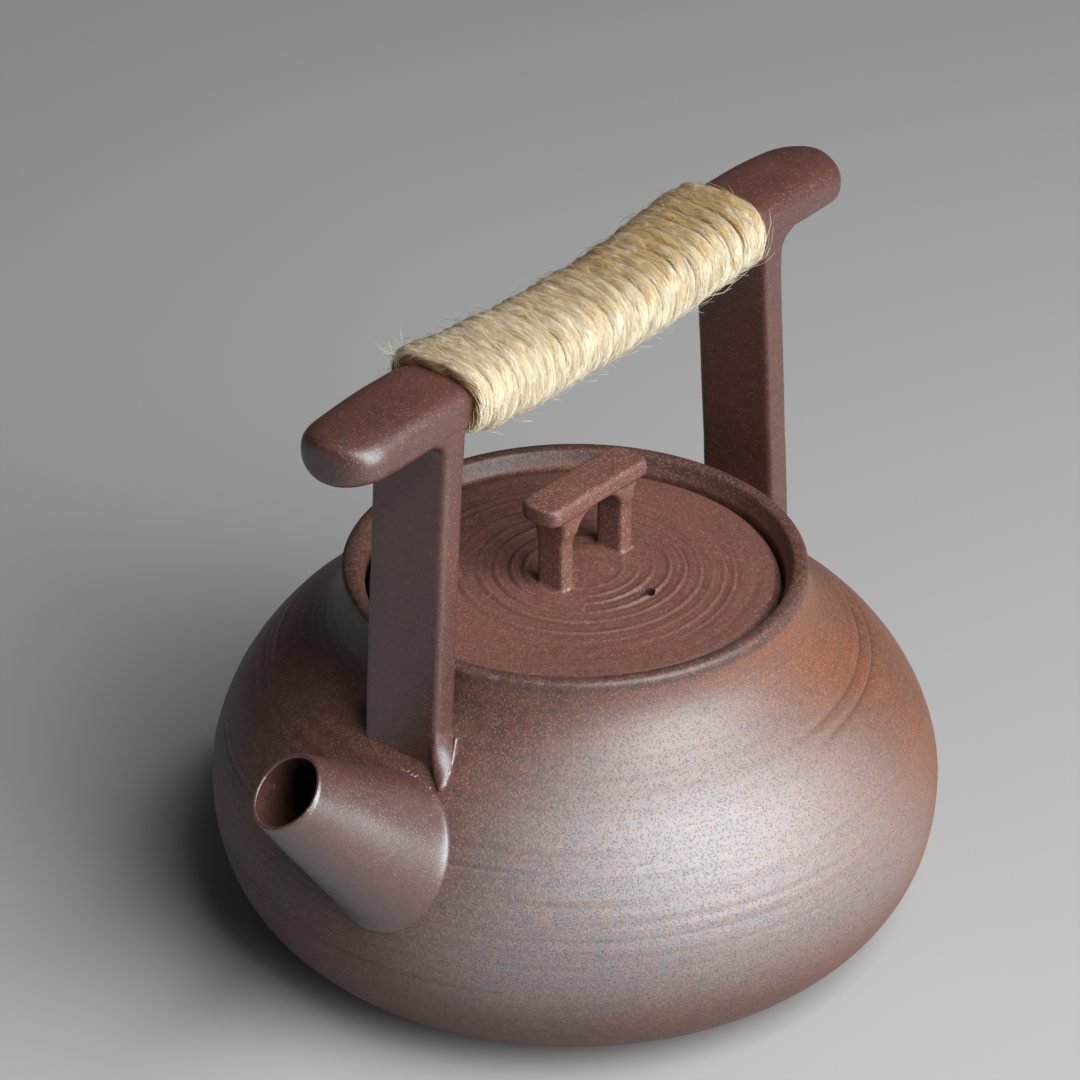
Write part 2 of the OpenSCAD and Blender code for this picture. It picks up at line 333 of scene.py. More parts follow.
def fused(name: str, parts: list[Skin], grain: float, relax: int) -> Mesh:
    """Closed pieces of clay pressed into one skin.

    Args:
        name: Name of the mesh.
        parts: Points and faces of each closed piece.
        grain: Size of the skin's cells.
        relax: Passes of smoothing over the skin.

    Returns:
        The joined mesh.
    """
    return evaluated(mesh_of(name, *joined(parts)), [
        ("REMESH", {"mode": "VOXEL", "voxel_size": grain}),
        ("SMOOTH", {"factor": 0.5, "iterations": relax}),
    ])


def carved(mesh: Mesh, cutter: Skin) -> Mesh:
    """Mesh with a closed shape cut out of it.

    Args:
        mesh: Mesh to cut.
        cutter: Closed skin of what is taken away.

    Returns:
        The cut mesh.
    """
    tool = placed("cutter", mesh_of("cutter", *cutter))
    result = evaluated(mesh, [("BOOLEAN", {"object": tool, "solver": "EXACT"})])
    bpy.data.objects.remove(tool)
    result.set_sharp_from_angle(angle=math.radians(CREASE))
    return result


def rod(start: Array, end: Array, radius: float, sides: int = 48) -> Skin:
    """Plain round rod between two points, used as a cutter.

    Args:
        start: Middle of the first end.
        end: Middle of the other end.
        radius: Radius of the rod.
        sides: Number of its sides.

    Returns:
        The rod's points and faces.
    """
    along = unit(end - start)
    side = unit(np.cross(along, [0.0, 1.0, 0.0]))
    ring = radius * hoop(around(sides)[:, None], side, np.cross(along, side))
    return skin(np.stack([start + ring, end + ring]))


class Waver:
    """Smooth variation of hand-made clay: a seeded sum of waves, the same on each run."""

    def __init__(self, seed: int, most_turns: int, length: float, size: float = 1.0, count: int = 14) -> None:
        """Draws the waves.

        Args:
            seed: Start of the draw.
            most_turns: Most waves round one turn.
            length: Shortest wave along the outline.
            size: What a value of 1 stands for.
            count: Number of waves.
        """
        draw = np.random.default_rng(seed)
        self.turns = draw.integers(0, most_turns + 1, count)
        self.rates = draw.uniform(-1, 1, count) * math.tau / length
        self.phases = draw.uniform(0, math.tau, count)
        self.size = size

    def at(self, turn: Array, along: Array) -> Array:
        """Value, mostly between the size below and above 0, at a turn in radians and a place along.

        Args:
            turn: Turns round the axis, in radians.
            along: Places along the axis.

        Returns:
            The values, in the joint shape of both.
        """
        waves = zip(self.turns, self.rates, self.phases)
        total = sum(np.cos(k * turn + w * along + p) for k, w, p in waves)
        return self.size * (total / math.sqrt(len(self.turns)))

    def along(self, place: Array) -> Array:
        """Value at a place along a line, whatever the turn."""
        return self.at(0 * place, place)


# Shader nodes


class Board:
    """Places nodes on a node tree and wires them."""

    def __init__(self, tree: Tree) -> None:
        """Keeps the tree that the nodes go on."""
        self.tree = tree

    def add(self, kind: str, inputs: dict | None = None, **settings: object) -> Node:
        """Adds a node.

        Args:
            kind: Blender's name of the node's type, without "ShaderNode".
            inputs: Input name or number to a value, or to a socket that is wired in.
            **settings: Properties of the node.

        Returns:
            The node.
        """
        node = self.tree.nodes.new(kind if kind.startswith("Node") else "ShaderNode" + kind)
        for key, value in settings.items():
            setattr(node, key, value)
        for key, value in (inputs or {}).items():
            if isinstance(value, Socket):
                self.tree.links.new(value, node.inputs[key])
            else:
                node.inputs[key].default_value = value
        return node

    def group(self, tree: Tree, **inputs: object) -> dict[str, Socket]:
        """Outputs of a node group with its own values."""
        return self.add("Group", inputs, node_tree=tree).outputs

    def math(self, operation: str, a: object, b: object = 0.0) -> Socket:
        """Result of a Math node on two values or sockets."""
        return self.add("Math", {0: a, 1: b}, operation=operation).outputs[0]

    def times(self, a: object, b: object) -> Socket:
        """Product of two values or sockets."""
        return self.math("MULTIPLY", a, b)

    def minus(self, a: object, b: object) -> Socket:
        """Difference of two values or sockets."""
        return self.math("SUBTRACT", a, b)

    def over(self, a: object, b: object) -> Socket:
        """Quotient of two values or sockets."""
        return self.math("DIVIDE", a, b)

    def total(self, start: object, *parts: tuple[Socket, float]) -> Socket:
        """A value or socket with more sockets added, each times its weight.

        Args:
            start: Value or socket to begin with.
            parts: Sockets, each with its weight.

        Returns:
            The sum.
        """
        for socket, weight in parts:
            start = self.math("ADD", start, self.times(socket, weight))
        return start

    def layers(self, colour: Colour, *coats: tuple[Socket, Colour]) -> Socket:
        """Colour under a row of coats, each with its mask.

        Args:
            colour: Colour below.
            coats: Masks, each with the colour that it lets in.

        Returns:
            The colour on top.
        """
        under = opaque(colour)
        for mask, coat in coats:
            under = self.add("Mix", {0: mask, 6: under, 7: opaque(coat)}, data_type="RGBA").outputs[2]
        return under

    def window(self, value: object, low: float, high: float, top: float = 1.0) -> Socket:
        """Smooth step from 0 to a top while the value goes from low to high."""
        inputs = {"Value": value, "From Min": low, "From Max": high, "To Min": 0.0, "To Max": top}
        return self.add("MapRange", inputs, interpolation_type="SMOOTHSTEP").outputs[0]

    def noise(self, vector: object, scale: object, detail: float, rough: float = 0.55) -> Socket:
        """Value of a noise texture at a vector."""
        inputs = {"Vector": vector, "Scale": scale, "Detail": detail, "Roughness": rough}
        return self.add("TexNoise", inputs).outputs["Fac"]

    def vectors(self, operation: str, a: object, b: object) -> Node:
        """A Vector Math node on two vectors or sockets."""
        return self.add("VectorMath", {0: a, 1: b}, operation=operation)

    def place(self) -> Socket:
        """Place on the piece, in metres."""
        return self.add("TexCoord").outputs["Object"]

    def parts(self) -> list[Socket]:
        """The place's parts along X, Y and Z."""
        return self.add("SeparateXYZ", {0: self.place()}).outputs

    def towards(self, turn: float, up: float = 0.0) -> Socket:
        """How far the place lies towards a turn round +Z, in degrees, and a share of upwards."""
        return self.vectors("DOT_PRODUCT", self.place(), (*direction(turn)[:2], up)).outputs["Value"]

    def shade(self, inputs: dict) -> None:
        """Adds the surface shader and wires it out."""
        shader = self.add("BsdfPrincipled", inputs)
        self.add("OutputMaterial", {"Surface": shader.outputs[0]})


def opaque(colour: Colour) -> tuple[float, float, float, float]:
    """Colour with full alpha, as a socket takes it."""
    return (*colour, 1.0)


def new_material(name: str) -> tuple[Material, Board]:
    """Empty node material and its board.

    Args:
        name: Name of the material.

    Returns:
        The material, and the board with its nodes.
    """
    material = bpy.data.materials.new(name)
    material.use_nodes = True
    material.node_tree.nodes.clear()
    return material, Board(material.node_tree)


def new_group(name: str, inputs: dict[str, float]) -> tuple[Board, dict[str, Socket]]:
    """Starts a shader node group.

    Args:
        name: Name of the group.
        inputs: Input names with their usual values.

    Returns:
        The board of the group and its input sockets by name.
    """
    tree = bpy.data.node_groups.new(name, "ShaderNodeTree")
    for key, value in inputs.items():
        socket = tree.interface.new_socket(key, in_out="INPUT", socket_type="NodeSocketFloat")
        socket.default_value = value
    board = Board(tree)
    return board, board.add("NodeGroupInput").outputs


def close_group(board: Board, results: dict[str, Socket]) -> Tree:
    """Wires a group's results to outputs of their names and gives the finished group.

    Args:
        board: Board of the group.
        results: Sockets by the name of the output.

    Returns:
        The group.
    """
    for key in results:
        board.tree.interface.new_socket(key, in_out="OUTPUT", socket_type="NodeSocketFloat")
    board.add("NodeGroupOutput", results)
    return board.tree


# Noises of the shared effects: scale, detail and roughness
DUST = (3000.0, 2.0)
STREAKS = (1.0, 3.0, 0.6)
FINE_LINES = (1.0, 2.0, 0.5)
MOTTLE = (420.0, 4.0, 0.65)
RUB_PATCHES = (700.0, 2.0)
KILN_DETAIL = 3.0

# Ramps of the shared effects: where each starts and where it is full
WHOLE = (0.0, 1.0)
GRAIN_EDGE = (0.85, 0.4)
BLUSH_RAMP = (0.45, 0.68)
SMOKE_RAMP = (0.45, 0.7)
PATCH_RAMP = (0.3, 0.6)
# Pointiness range of the painted crease shade
CREASE_SHADE_RAMP = (0.497, 0.46)

# Reliefs, stretches and shifts of the shared effects
GRAIN_RELIEF = 0.8
STREAK_STRETCH = 16.0
LINE_STRETCH = (2.2, 2.2, 3.7)
SMOKE_SHIFT = (0.31, 0.17, 0.53)


def sand_grain_group() -> Tree:
    """Grains of sand in the clay: pale grains, dark pits and the height of both.

    Returns:
        The group, with outputs Pale, Dark and Height.
    """
    board, given = new_group("sand_grain", {"Size": 0.4 * MM, "Share": 0.3})
    scale = board.over(1.0, given["Size"])
    cells = board.add("TexVoronoi", {"Vector": board.place(), "Scale": scale, "Randomness": 1.0})
    chance = board.add("SeparateColor", {0: cells.outputs["Color"]}).outputs
    disc = board.window(cells.outputs["Distance"], *GRAIN_EDGE)
    pale_limit = board.minus(1.0, given["Share"])
    pale, dark = (
        board.times(disc, board.window(board.over(chosen, given["Share"]), *WHOLE))
        for chosen in (board.minus(chance[0], pale_limit), board.minus(given["Share"], chance[1])))
    dust = board.noise(board.place(), *DUST)
    height = board.total(dust, (pale, GRAIN_RELIEF), (dark, -GRAIN_RELIEF))
    return close_group(board, {"Pale": pale, "Dark": dark, "Height": height})


def throwing_group() -> Tree:
    """Streaks that the potter's fingers leave, level on a wall and round on a lid.

    Returns:
        The group, with outputs Streak and Line.
    """
    board, given = new_group("throwing_streaks", {"Round": 0.0, "Pitch": 2.4 * MM})
    parts = board.parts()
    squares = [board.math("POWER", parts[k], 2.0) for k in (0, 1)]
    radius = board.math("SQRT", board.math("ADD", *squares))
    level = board.times(parts[2], board.minus(1.0, given["Round"]))
    across = board.over(board.total(level, (radius, given["Round"])), given["Pitch"])
    slow = [board.times(parts[k], STREAK_STRETCH) for k in (0, 1)]
    vector = board.add("CombineXYZ", {0: slow[0], 1: slow[1], 2: across}).outputs[0]
    fine = board.vectors("MULTIPLY", vector, LINE_STRETCH).outputs[0]
    return close_group(board, {
        "Streak": board.noise(vector, *STREAKS), "Line": board.noise(fine, *FINE_LINES)})


def kiln_group() -> Tree:
    """Marks of the firing: warm blushes, smoky patches and a fine mottle.

    Returns:
        The group, with outputs Blush, Smoke and Mottle.
    """
    board, given = new_group("kiln_marks", {"Patch": 40 * MM})
    scale = board.over(1.0, given["Patch"])
    here = board.place()
    far = board.vectors("ADD", here, SMOKE_SHIFT).outputs[0]
    return close_group(board, {
        "Blush": board.window(board.noise(here, scale, KILN_DETAIL), *BLUSH_RAMP),
        "Smoke": board.window(board.noise(far, scale, KILN_DETAIL), *SMOKE_RAMP),
        "Mottle": board.noise(here, *MOTTLE),
    })


def rub_and_crease_shade_group() -> Tree:
    """Edges where handling has rubbed the clay paler, and painted shade in dips and creases.

    Returns:
        The group, with the rub output and the painted crease shade output.
    """
    board, given = new_group("rub_and_crease_shade", {"Low": 0.52, "High": 0.62})
    sharp = board.add("NewGeometry").outputs["Pointiness"]
    part = board.over(board.minus(sharp, given["Low"]), board.minus(given["High"], given["Low"]))
    patchy = board.window(board.noise(board.place(), *RUB_PATCHES), *PATCH_RAMP)
    rub = board.times(board.window(part, *WHOLE), patchy)
    # The second output is painted shade: it darkens the clay in concave dips and creases.
    return close_group(board, {"Rub": rub, "CreaseShade": board.window(sharp, *CREASE_SHADE_RAMP)})


class ClayTools:
    """The node groups that all the clay finishes share, built once."""

    def __init__(self) -> None:
        """Builds the groups."""
        self.grain = sand_grain_group()
        self.throwing = throwing_group()
        self.kiln = kiln_group()
        # Rubbed edges, with painted shade in the creases
        self.rubbed = rub_and_crease_shade_group()


class Turning(Enum):
    """How the potter's streaks lie on a piece."""

    LEVEL = 0.0
    ROUND = 1.0


@dataclass(frozen=True)
class ClayFinish:
    """An unglazed stoneware: its colours, sand, streaks and sheen, the marks of the fire, painted shade in
    creases and low places, and a painted cool sheen tint on its lit side.
    """

    name: str
    base: Colour
    warm: Colour
    smoke: Colour
    pale: Colour
    turning: Turning
    streaks: float
    blush: float
    smoky: float
    sand: float
    rub: float
    rough: float
    gloss: float = 1.0
    ior: float = 1.6
    sheen_tint: Colour = (0.8, 0.97, 1.0)
    grain_share: float = 0.45
    grain_size: float = 0.3 * MM
    dark_share: float = 0.62
    streak_ramp: Span = (0.3, 0.7)
    mottle_ramp: Triple = (0.35, 0.7, 0.35)
    # Share of the painted crease shade
    crease_shade_share: float = 0.75
    smooth_by: float = 0.06
    grain_rough: float = 0.1
    pit_rough: float = 0.2
    line_rough: float = -0.08
    grain_relief: float = 0.4
    bump_strength: float = 0.55
    bump_depth: float = 0.11 * MM
    mark_share: float = 0.85
    # Heights where the smoke colour comes in: real smoke on the body's rim, painted shade on the lid's edge,
    # steam hole and groove floors
    smoke_and_painted_shade: Span | None = None
    flash_turn: float | None = None
    flash_up: float = 0.35
    flash_break: float = 30 * MM
    flash_reach: Span = (50 * MM, 86 * MM)
    # Side where the lamp's sheen falls: a gloss coat lies there, and a painted cool sheen tint is mixed into
    # the colour
    film_turn: float | None = None
    film_side: Span = (36 * MM, 65 * MM)
    film_start: Span = (12 * MM, 32 * MM)
    film_end: Span = (77 * MM, 70 * MM)
    film_whole: float = 1.2
    film_pits: float = -0.6
    film_lines: float = -0.5
    film_rough: float = 0.68
    film_ior: float = 2.7
    # Painted sheen: the cool grey tint mixed into the colour where the gloss coat lies
    ash: Colour = (0.085, 0.09, 0.11)
    painted_sheen_share: float = 0.6

    def material(self, tools: ClayTools) -> Material:
        """Builds the node material.

        Args:
            tools: The shared node groups.

        Returns:
            The material.
        """
        material, board = new_material(self.name)
        grain = board.group(tools.grain, Size=self.grain_size, Share=self.grain_share)
        thrown = board.group(tools.throwing, Round=self.turning.value)
        kiln = board.group(tools.kiln)
        # Rubbed edges, and painted shade in the creases
        rubbed = board.group(tools.rubbed)
        dark = tuple(self.dark_share * c for c in self.base)
        warmth = board.times(kiln["Blush"], self.blush)
        if self.flash_turn is not None:
            warmth = board.math("MAXIMUM", warmth, self.flash(board, thrown["Line"]))
        smoky = board.times(kiln["Smoke"], self.smoky)
        # Smoke colour by height: real smoke at the body's rim, painted shade down in the lid's hole, edge and
        # grooves
        if self.smoke_and_painted_shade is not None:
            mark = board.window(board.parts()[2], *self.smoke_and_painted_shade, self.mark_share)
            smoky = board.math("MAXIMUM", smoky, mark)
        coats = [
            (board.times(board.window(thrown["Streak"], *self.streak_ramp), self.streaks), dark),
            (warmth, self.warm), (smoky, self.smoke)]
        surface = {
            "Specular IOR Level": self.gloss, "Specular Tint": opaque(self.sheen_tint), "IOR": self.ior,
            "Coat Roughness": self.film_rough, "Coat IOR": self.film_ior}
        # Gloss coat on the lit side, with a painted cool sheen tint mixed into the colour under it
        if self.film_turn is not None:
            surface["Coat Weight"] = self.coat_and_painted_sheen(board, grain["Dark"], thrown["Line"])
            coats.append((board.times(surface["Coat Weight"], self.painted_sheen_share), self.ash))
        coats += [
            (board.window(kiln["Mottle"], *self.mottle_ramp), self.warm),
            (board.times(grain["Pale"], self.sand), self.pale),
            (board.times(grain["Dark"], self.sand), dark),
            # Painted shade: the smoke colour laid into dips and creases
            (board.times(rubbed["CreaseShade"], self.crease_shade_share), self.smoke),
            (board.times(rubbed["Rub"], self.rub), self.pale)]
        surface["Base Color"] = board.layers(self.base, *coats)
        surface["Roughness"] = board.total(
            self.rough - self.smooth_by, (grain["Height"], self.grain_rough),
            (grain["Dark"], self.pit_rough), (thrown["Line"], self.line_rough))
        height = board.total(
            kiln["Mottle"], (grain["Height"], self.grain_relief), (thrown["Line"], self.streaks))
        bump = {"Height": height, "Strength": self.bump_strength, "Distance": self.bump_depth}
        surface["Normal"] = surface["Coat Normal"] = board.add("Bump", bump).outputs[0]
        board.shade(surface)
        return material

    def coat_and_painted_sheen(self, board: Board, pits: Socket, line: Socket) -> Socket:
        """Mask of the gloss coat and the painted cool sheen tint on the side where the lamp's sheen falls,
        broken by pits and level lines.

        Args:
            board: Board of the material.
            pits: Mask of the dark pits.
            line: Fine level lines.

        Returns:
            The mask.
        """
        level = board.parts()[2]
        whole = board.total(self.film_whole, (pits, self.film_pits), (line, self.film_lines))
        side = board.window(board.towards(self.film_turn), *self.film_side)
        place = board.times(side, board.window(level, *self.film_start))
        return board.times(board.times(place, board.window(level, *self.film_end)), whole)

    def flash(self, board: Board, line: Socket) -> Socket:
        """Mask of the orange flash that the fire left on one side of the shoulder.

        Args:
            board: Board of the material.
            line: Fine level lines.

        Returns:
            The mask.
        """
        side = board.towards(self.flash_turn, self.flash_up)
        broken = board.total(side, (board.minus(line, 0.5), self.flash_break))
        return board.window(broken, *self.flash_reach, self.mark_share)


# The body has the gloss coat and painted sheen tint on its lit side, and smoke colour at its rim
BODY_CLAY = ClayFinish(
    name="body_clay", base=(0.12, 0.045, 0.034), warm=(0.27, 0.095, 0.042), smoke=(0.06, 0.027, 0.025),
    pale=(0.36, 0.24, 0.18), turning=Turning.LEVEL, streaks=0.45, blush=0.25, smoky=0.4, sand=0.45,
    rub=0.25, rough=0.55, ior=1.48, flash_turn=118.0, film_turn=62.0, smoke_and_painted_shade=(76.0 * MM, 77.8 * MM))
# On the lid the smoke colour below its top is painted shade in the steam hole, the edge and the grooves
LID_CLAY = ClayFinish(
    name="lid_clay", base=(0.18, 0.065, 0.049), warm=(0.25, 0.092, 0.055), smoke=(0.06, 0.023, 0.018),
    pale=(0.43, 0.28, 0.22), turning=Turning.ROUND, streaks=0.4, blush=0.3, smoky=0.3, sand=0.4,
    rub=0.3, rough=0.58, gloss=0.8, smoke_and_painted_shade=(76.2 * MM, 75.7 * MM))
KNOB_CLAY = replace(LID_CLAY, name="knob_clay", sand=0.6, rub=0.9, smoke_and_painted_shade=None)
HANDLE_CLAY = ClayFinish(
    name="handle_clay", base=(0.105, 0.038, 0.031), warm=(0.17, 0.06, 0.042), smoke=(0.058, 0.025, 0.025),
    pale=(0.36, 0.25, 0.2), turning=Turning.LEVEL, streaks=0.15, blush=0.3, smoky=0.35, sand=0.3,
    rub=0.12, rough=0.42, ior=1.55, grain_share=0.2)
SPOUT_CLAY = replace(HANDLE_CLAY, name="spout_clay", sand=0.25, rub=0.8, rough=0.43, ior=1.76)


@dataclass(frozen=True)
class JuteFinish:
    """Natural jute: straw in the light, brown between the fibres, a painted golden-brown shade on top and
    painted shade between the turns, matte.
    """

    name: str
    shade: Colour
    straw: Colour
    cream: Colour
    # Painted shade: the golden brown laid on the cord's top
    top_shade_colour: Colour
    rough: float
    lines: float
    stretch: Triple = (1.7, 9.0, 9.0)
    fibre_noise: Triple = (1.0, 4.0, 0.7)
    patch_noise: Span = (240.0, 3.0)
    cream_ramp: Span = (0.36, 0.6)
    straw_ramp: Triple = (0.48, 0.66, 0.7)
    # Where the painted top shade shows, and the dark gaps that it adds
    top_shade_ramp: Span = (0.2, 0.55)
    top_shade_lines: float = 0.3
    gap_ramp: Span = (0.48, 0.34)
    # Tone range over which the painted shade comes in
    painted_shade_ramp: Span = (0.6, 0.05)
    bump_strength: float = 0.9
    bump_depth: float = 0.35 * MM
    gloss: float = 0.25
    fuzz: float = 0.25
    fuzz_rough: float = 0.5

    def material(self) -> Material:
        """Builds the node material, which reads the strand's own coordinates.

        Returns:
            The material.
        """
        material, board = new_material(self.name)
        names = ("strand", "tone", "painted_top_shade")
        strand, tone, painted_top_shade = (board.add("Attribute", attribute_name=name).outputs for name in names)
        stretched = board.vectors("MULTIPLY", strand["Vector"], self.stretch).outputs[0]
        fibres = board.noise(stretched, *self.fibre_noise)
        patches = board.noise(board.place(), *self.patch_noise)
        # More dark fibre gaps under the painted top shade
        lines = board.total(self.lines, (painted_top_shade["Fac"], self.top_shade_lines))
        colour = board.layers(
            self.straw, (board.window(fibres, *self.cream_ramp), self.cream),
            (board.window(patches, *self.straw_ramp), self.straw),
            # Painted shade: golden brown on the top of the cord
            (board.times(painted_top_shade["Fac"], board.window(patches, *self.top_shade_ramp)), self.top_shade_colour),
            (board.times(board.window(fibres, *self.gap_ramp), lines), self.shade),
            # Painted shade where the tone is low: the cord's sides and the gaps between its turns; on the
            # loose hairs the tone is random
            (board.window(tone["Fac"], *self.painted_shade_ramp), self.shade))
        bump = board.add("Bump", {
            "Height": fibres, "Strength": self.bump_strength, "Distance": self.bump_depth})
        board.shade({
            "Base Color": colour, "Roughness": self.rough, "Normal": bump.outputs[0],
            "Specular IOR Level": self.gloss, "Sheen Weight": self.fuzz, "Sheen Roughness": self.fuzz_rough})
        return material


JUTE_CORD = JuteFinish(
    name="jute_cord", shade=(0.25, 0.13, 0.04), straw=(0.86, 0.7, 0.42), cream=(0.93, 0.87, 0.7),
    top_shade_colour=(0.58, 0.38, 0.14), rough=0.8, lines=0.6)
JUTE_HAIR = JuteFinish(
    name="jute_hair", shade=(0.5, 0.35, 0.17), straw=(0.87, 0.74, 0.5), cream=(0.93, 0.88, 0.72),
    top_shade_colour=(0.63, 0.44, 0.18), rough=0.7, lines=0.2)


# The pieces


class SubAssembly:
    """A group of pieces that ride on one CAD body."""

    body = "pot"

    def show(self, mesh: Mesh, slot: str, material: Material, *nodes: str) -> None:
        """Puts a finished mesh into the scene.

        Args:
            mesh: The mesh, whose name the piece takes.
            slot: Name of a material slot; not used.
            material: What the piece is dressed in.
            *nodes: CAD nodes that the piece stands for.
        """
        piece = placed(mesh.name, mesh)
        mesh.materials.clear()
        mesh.materials.append(material)
        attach(piece, self.body)
        if nodes:
            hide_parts(*nodes)
        log.info("%s: %d faces, stands for %s", piece.name, len(mesh.polygons), ", ".join(nodes) or "no node")


@dataclass(frozen=True)
class Groove:
    """A throwing groove: height, depth and half width, and the turns where it shows, in degrees."""

    height: float
    depth: float
    width: float
    start: float
    end: float
    fade: float = 0.4
    lip: float = 0.5
    lip_off: float = 1.9
    lip_width: float = 1.2

    def cut(self, height: Array, turn: Array) -> Array:
        """Depth of the groove at heights and turns, with the low lip that the finger raised beside it.

        Args:
            height: Heights on the wall.
            turn: Turns round the pot, in radians.

        Returns:
            How far the wall moves in, below 0 on the lip.
        """
        middle, half = math.radians(self.start + self.end) / 2, math.radians(self.end - self.start) / 2
        away = np.abs((turn - middle + math.pi) % math.tau - math.pi)
        shown = ease((half - away) / (self.fade * half))
        off = (height - self.height) / self.width
        raised = self.lip * np.exp(-(((off - self.lip_off) / self.lip_width) ** 2))
        return self.depth * (np.exp(-(off**2)) - raised) * shown


# Height, depth and half width in millimetres of the grooves that the photograph shows, and their turns
SEEN_GROOVES = tuple(Groove(height * MM, depth * MM, width * MM, *turns) for height, depth, width, *turns in (
    (60.7, 0.34, 0.42, 84, 150),
    (58.6, 0.38, 0.42, 86, 156),
    (55.0, 0.04, 0.7, 30, 96),
    (51.0, 0.03, 0.7, 20, 90),
    (47.9, 0.05, 0.65, 28, 96),
    (45.8, 0.13, 0.45, 74, 140),
    (43.8, 0.06, 0.6, 18, 92),
    (40.2, 0.09, 0.55, 24, 132),
    (37.1, 0.06, 0.6, 12, 90),
    (33.6, 0.04, 0.7, 20, 110),
))


@dataclass
class PotShell(SubAssembly):
    """The thrown body and its collar, one turned wall of clay."""

    belly_h: float = 30.5 * MM
    foot_r: float = 46 * MM
    neck_r: float = 42.9 * MM
    neck_h: float = 66.5 * MM
    foot_power: float = 2.35
    shoulder_power: float = 1.78
    wall: float = 5 * MM
    floor_t: float = 6 * MM
    throat_r: float = 37.5 * MM
    rim_t: float = 4.7 * MM
    rim_round: float = 1.0 * MM
    rim_r: float = 47.3 * MM
    rim_crisp: float = 0.7 * MM
    rim_turn: Span = (90, 150)
    rim_slope: float = 1.4 * MM
    rim_deep: float = 3.6 * MM
    hollow: float = 7.5 * MM
    flank_reach: float = 0.45
    flank_points: int = 30
    curve_points: int = 60
    collar_lean: float = 6.0
    collar_tuck: float = 0.1 * MM
    waist_drop: float = 0.6 * MM
    ledge_h: float = 71.7 * MM
    foot_groove: float = 0.9 * MM
    foot_ring: float = 6 * MM
    foot_slope: float = 2 * MM
    port_r: float = 9 * MM
    port_depths: Span = (20 * MM, 48 * MM)
    unseen_grooves: int = 16
    unseen_seed: int = 41
    unseen_start: Span = (150, 330)
    unseen_mm: tuple[Span, ...] = ((20, 62), (0.1, 0.26), (0.4, 0.6))
    unseen_turn: Span = (50, 110)
    sway: Waver = Waver(3, 3, 60 * MM, 0.16 * MM)
    patches: Waver = Waver(8, 4, 14 * MM, 0.9)
    ridge_sway: Waver = Waver(5, 2, 9 * MM, 1.6)
    ridge_pitch: float = 2.3 * MM
    ridge_size: float = 0.02 * MM
    line_sway: Waver = Waver(6, 3, 7 * MM, 2.2)
    line_pitch: float = 1.25 * MM
    line_size: float = 0.01 * MM
    line_slant: float = 0.6
    line_least: float = 0.2
    calm_low: float = 1 * MM
    calm_foot: float = 8 * MM
    calm_rim: float = 10 * MM
    sides: int = 420
    fine: float = 0.36 * MM
    plain: float = 1.3 * MM
    coarse: float = 2 * MM

    def __post_init__(self) -> None:
        """Takes the main sizes from the frame."""
        self.belly_r = box_of("pot_body")[1][0]
        low, high = box_of("collar_ring")
        self.collar_r, self.collar_h, self.rim_h = high[0], low[2], high[2]
        self.waist_r = self.rim_r - self.collar_tuck
        self.waist_h = self.rim_h - self.rim_round - self.waist_drop

    def radius(self, height: Array) -> Array:
        """Outer radius of the body at heights up to the collar.

        Args:
            height: Heights above the table.

        Returns:
            The radii.
        """
        low = np.clip((self.belly_h - height) / self.belly_h, 0, 1)
        high = np.clip((height - self.belly_h) / (self.neck_h - self.belly_h), 0, 1)
        under = (1 - low**self.foot_power) ** (1 / self.foot_power)
        over = (1 - high**self.shoulder_power) ** (1 / self.shoulder_power)
        return np.where(height < self.belly_h, self.foot_r + (self.belly_r - self.foot_r) * under,
                        self.neck_r + (self.belly_r - self.neck_r) * over)

    def shoulder(self, radius: Array) -> Array:
        """Height of the shoulder at a radius.

        Args:
            radius: Distances from the axis.

        Returns:
            The heights.
        """
        part = np.clip((radius - self.neck_r) / (self.belly_r - self.neck_r), 0, 1)
        rise = (1 - part**self.shoulder_power) ** (1 / self.shoulder_power)
        return self.belly_h + (self.neck_h - self.belly_h) * rise

    def top_height(self, radius: Array) -> Array:
        """Height of the shoulder, or of the collar's flank, at a radius.

        Args:
            radius: Distances from the axis.

        Returns:
            The heights.
        """
        flank = self.flank()[::-1]
        collar = np.interp(radius, flank[:, 0], flank[:, 1])
        return np.where(radius > flank[-1, 0], self.shoulder(radius), collar)

    def girth(self, height: Array) -> Array:
        """Outer radius at heights up to the collar's waist.

        Args:
            height: Heights above the table.

        Returns:
            The radii.
        """
        flank = self.flank()
        collar = np.interp(height, flank[:, 1], flank[:, 0])
        return np.where(height > flank[0, 1], collar, self.radius(height))

    def curve(self, start_r: float, belly_r: float, start_h: float, power: float, last: float = 90) -> Array:
        """Part of the outline, from the belly to the radius and height where it closes.

        Args:
            start_r: Radius where the curve closes.
            belly_r: Radius of the belly.
            start_h: Height where the curve closes.
            power: Power of the curve, 2 for an ellipse.
            last: Turn at the end of the curve, in degrees.

        Returns:
            Radius and height of each point.
        """
        turn = np.radians(np.linspace(0, last, self.curve_points))
        across, up = np.cos(turn) ** (2 / power), np.sin(turn) ** (2 / power)
        height = self.belly_h + (start_h - self.belly_h) * up
        return np.stack([start_r + (belly_r - start_r) * across, height], -1)

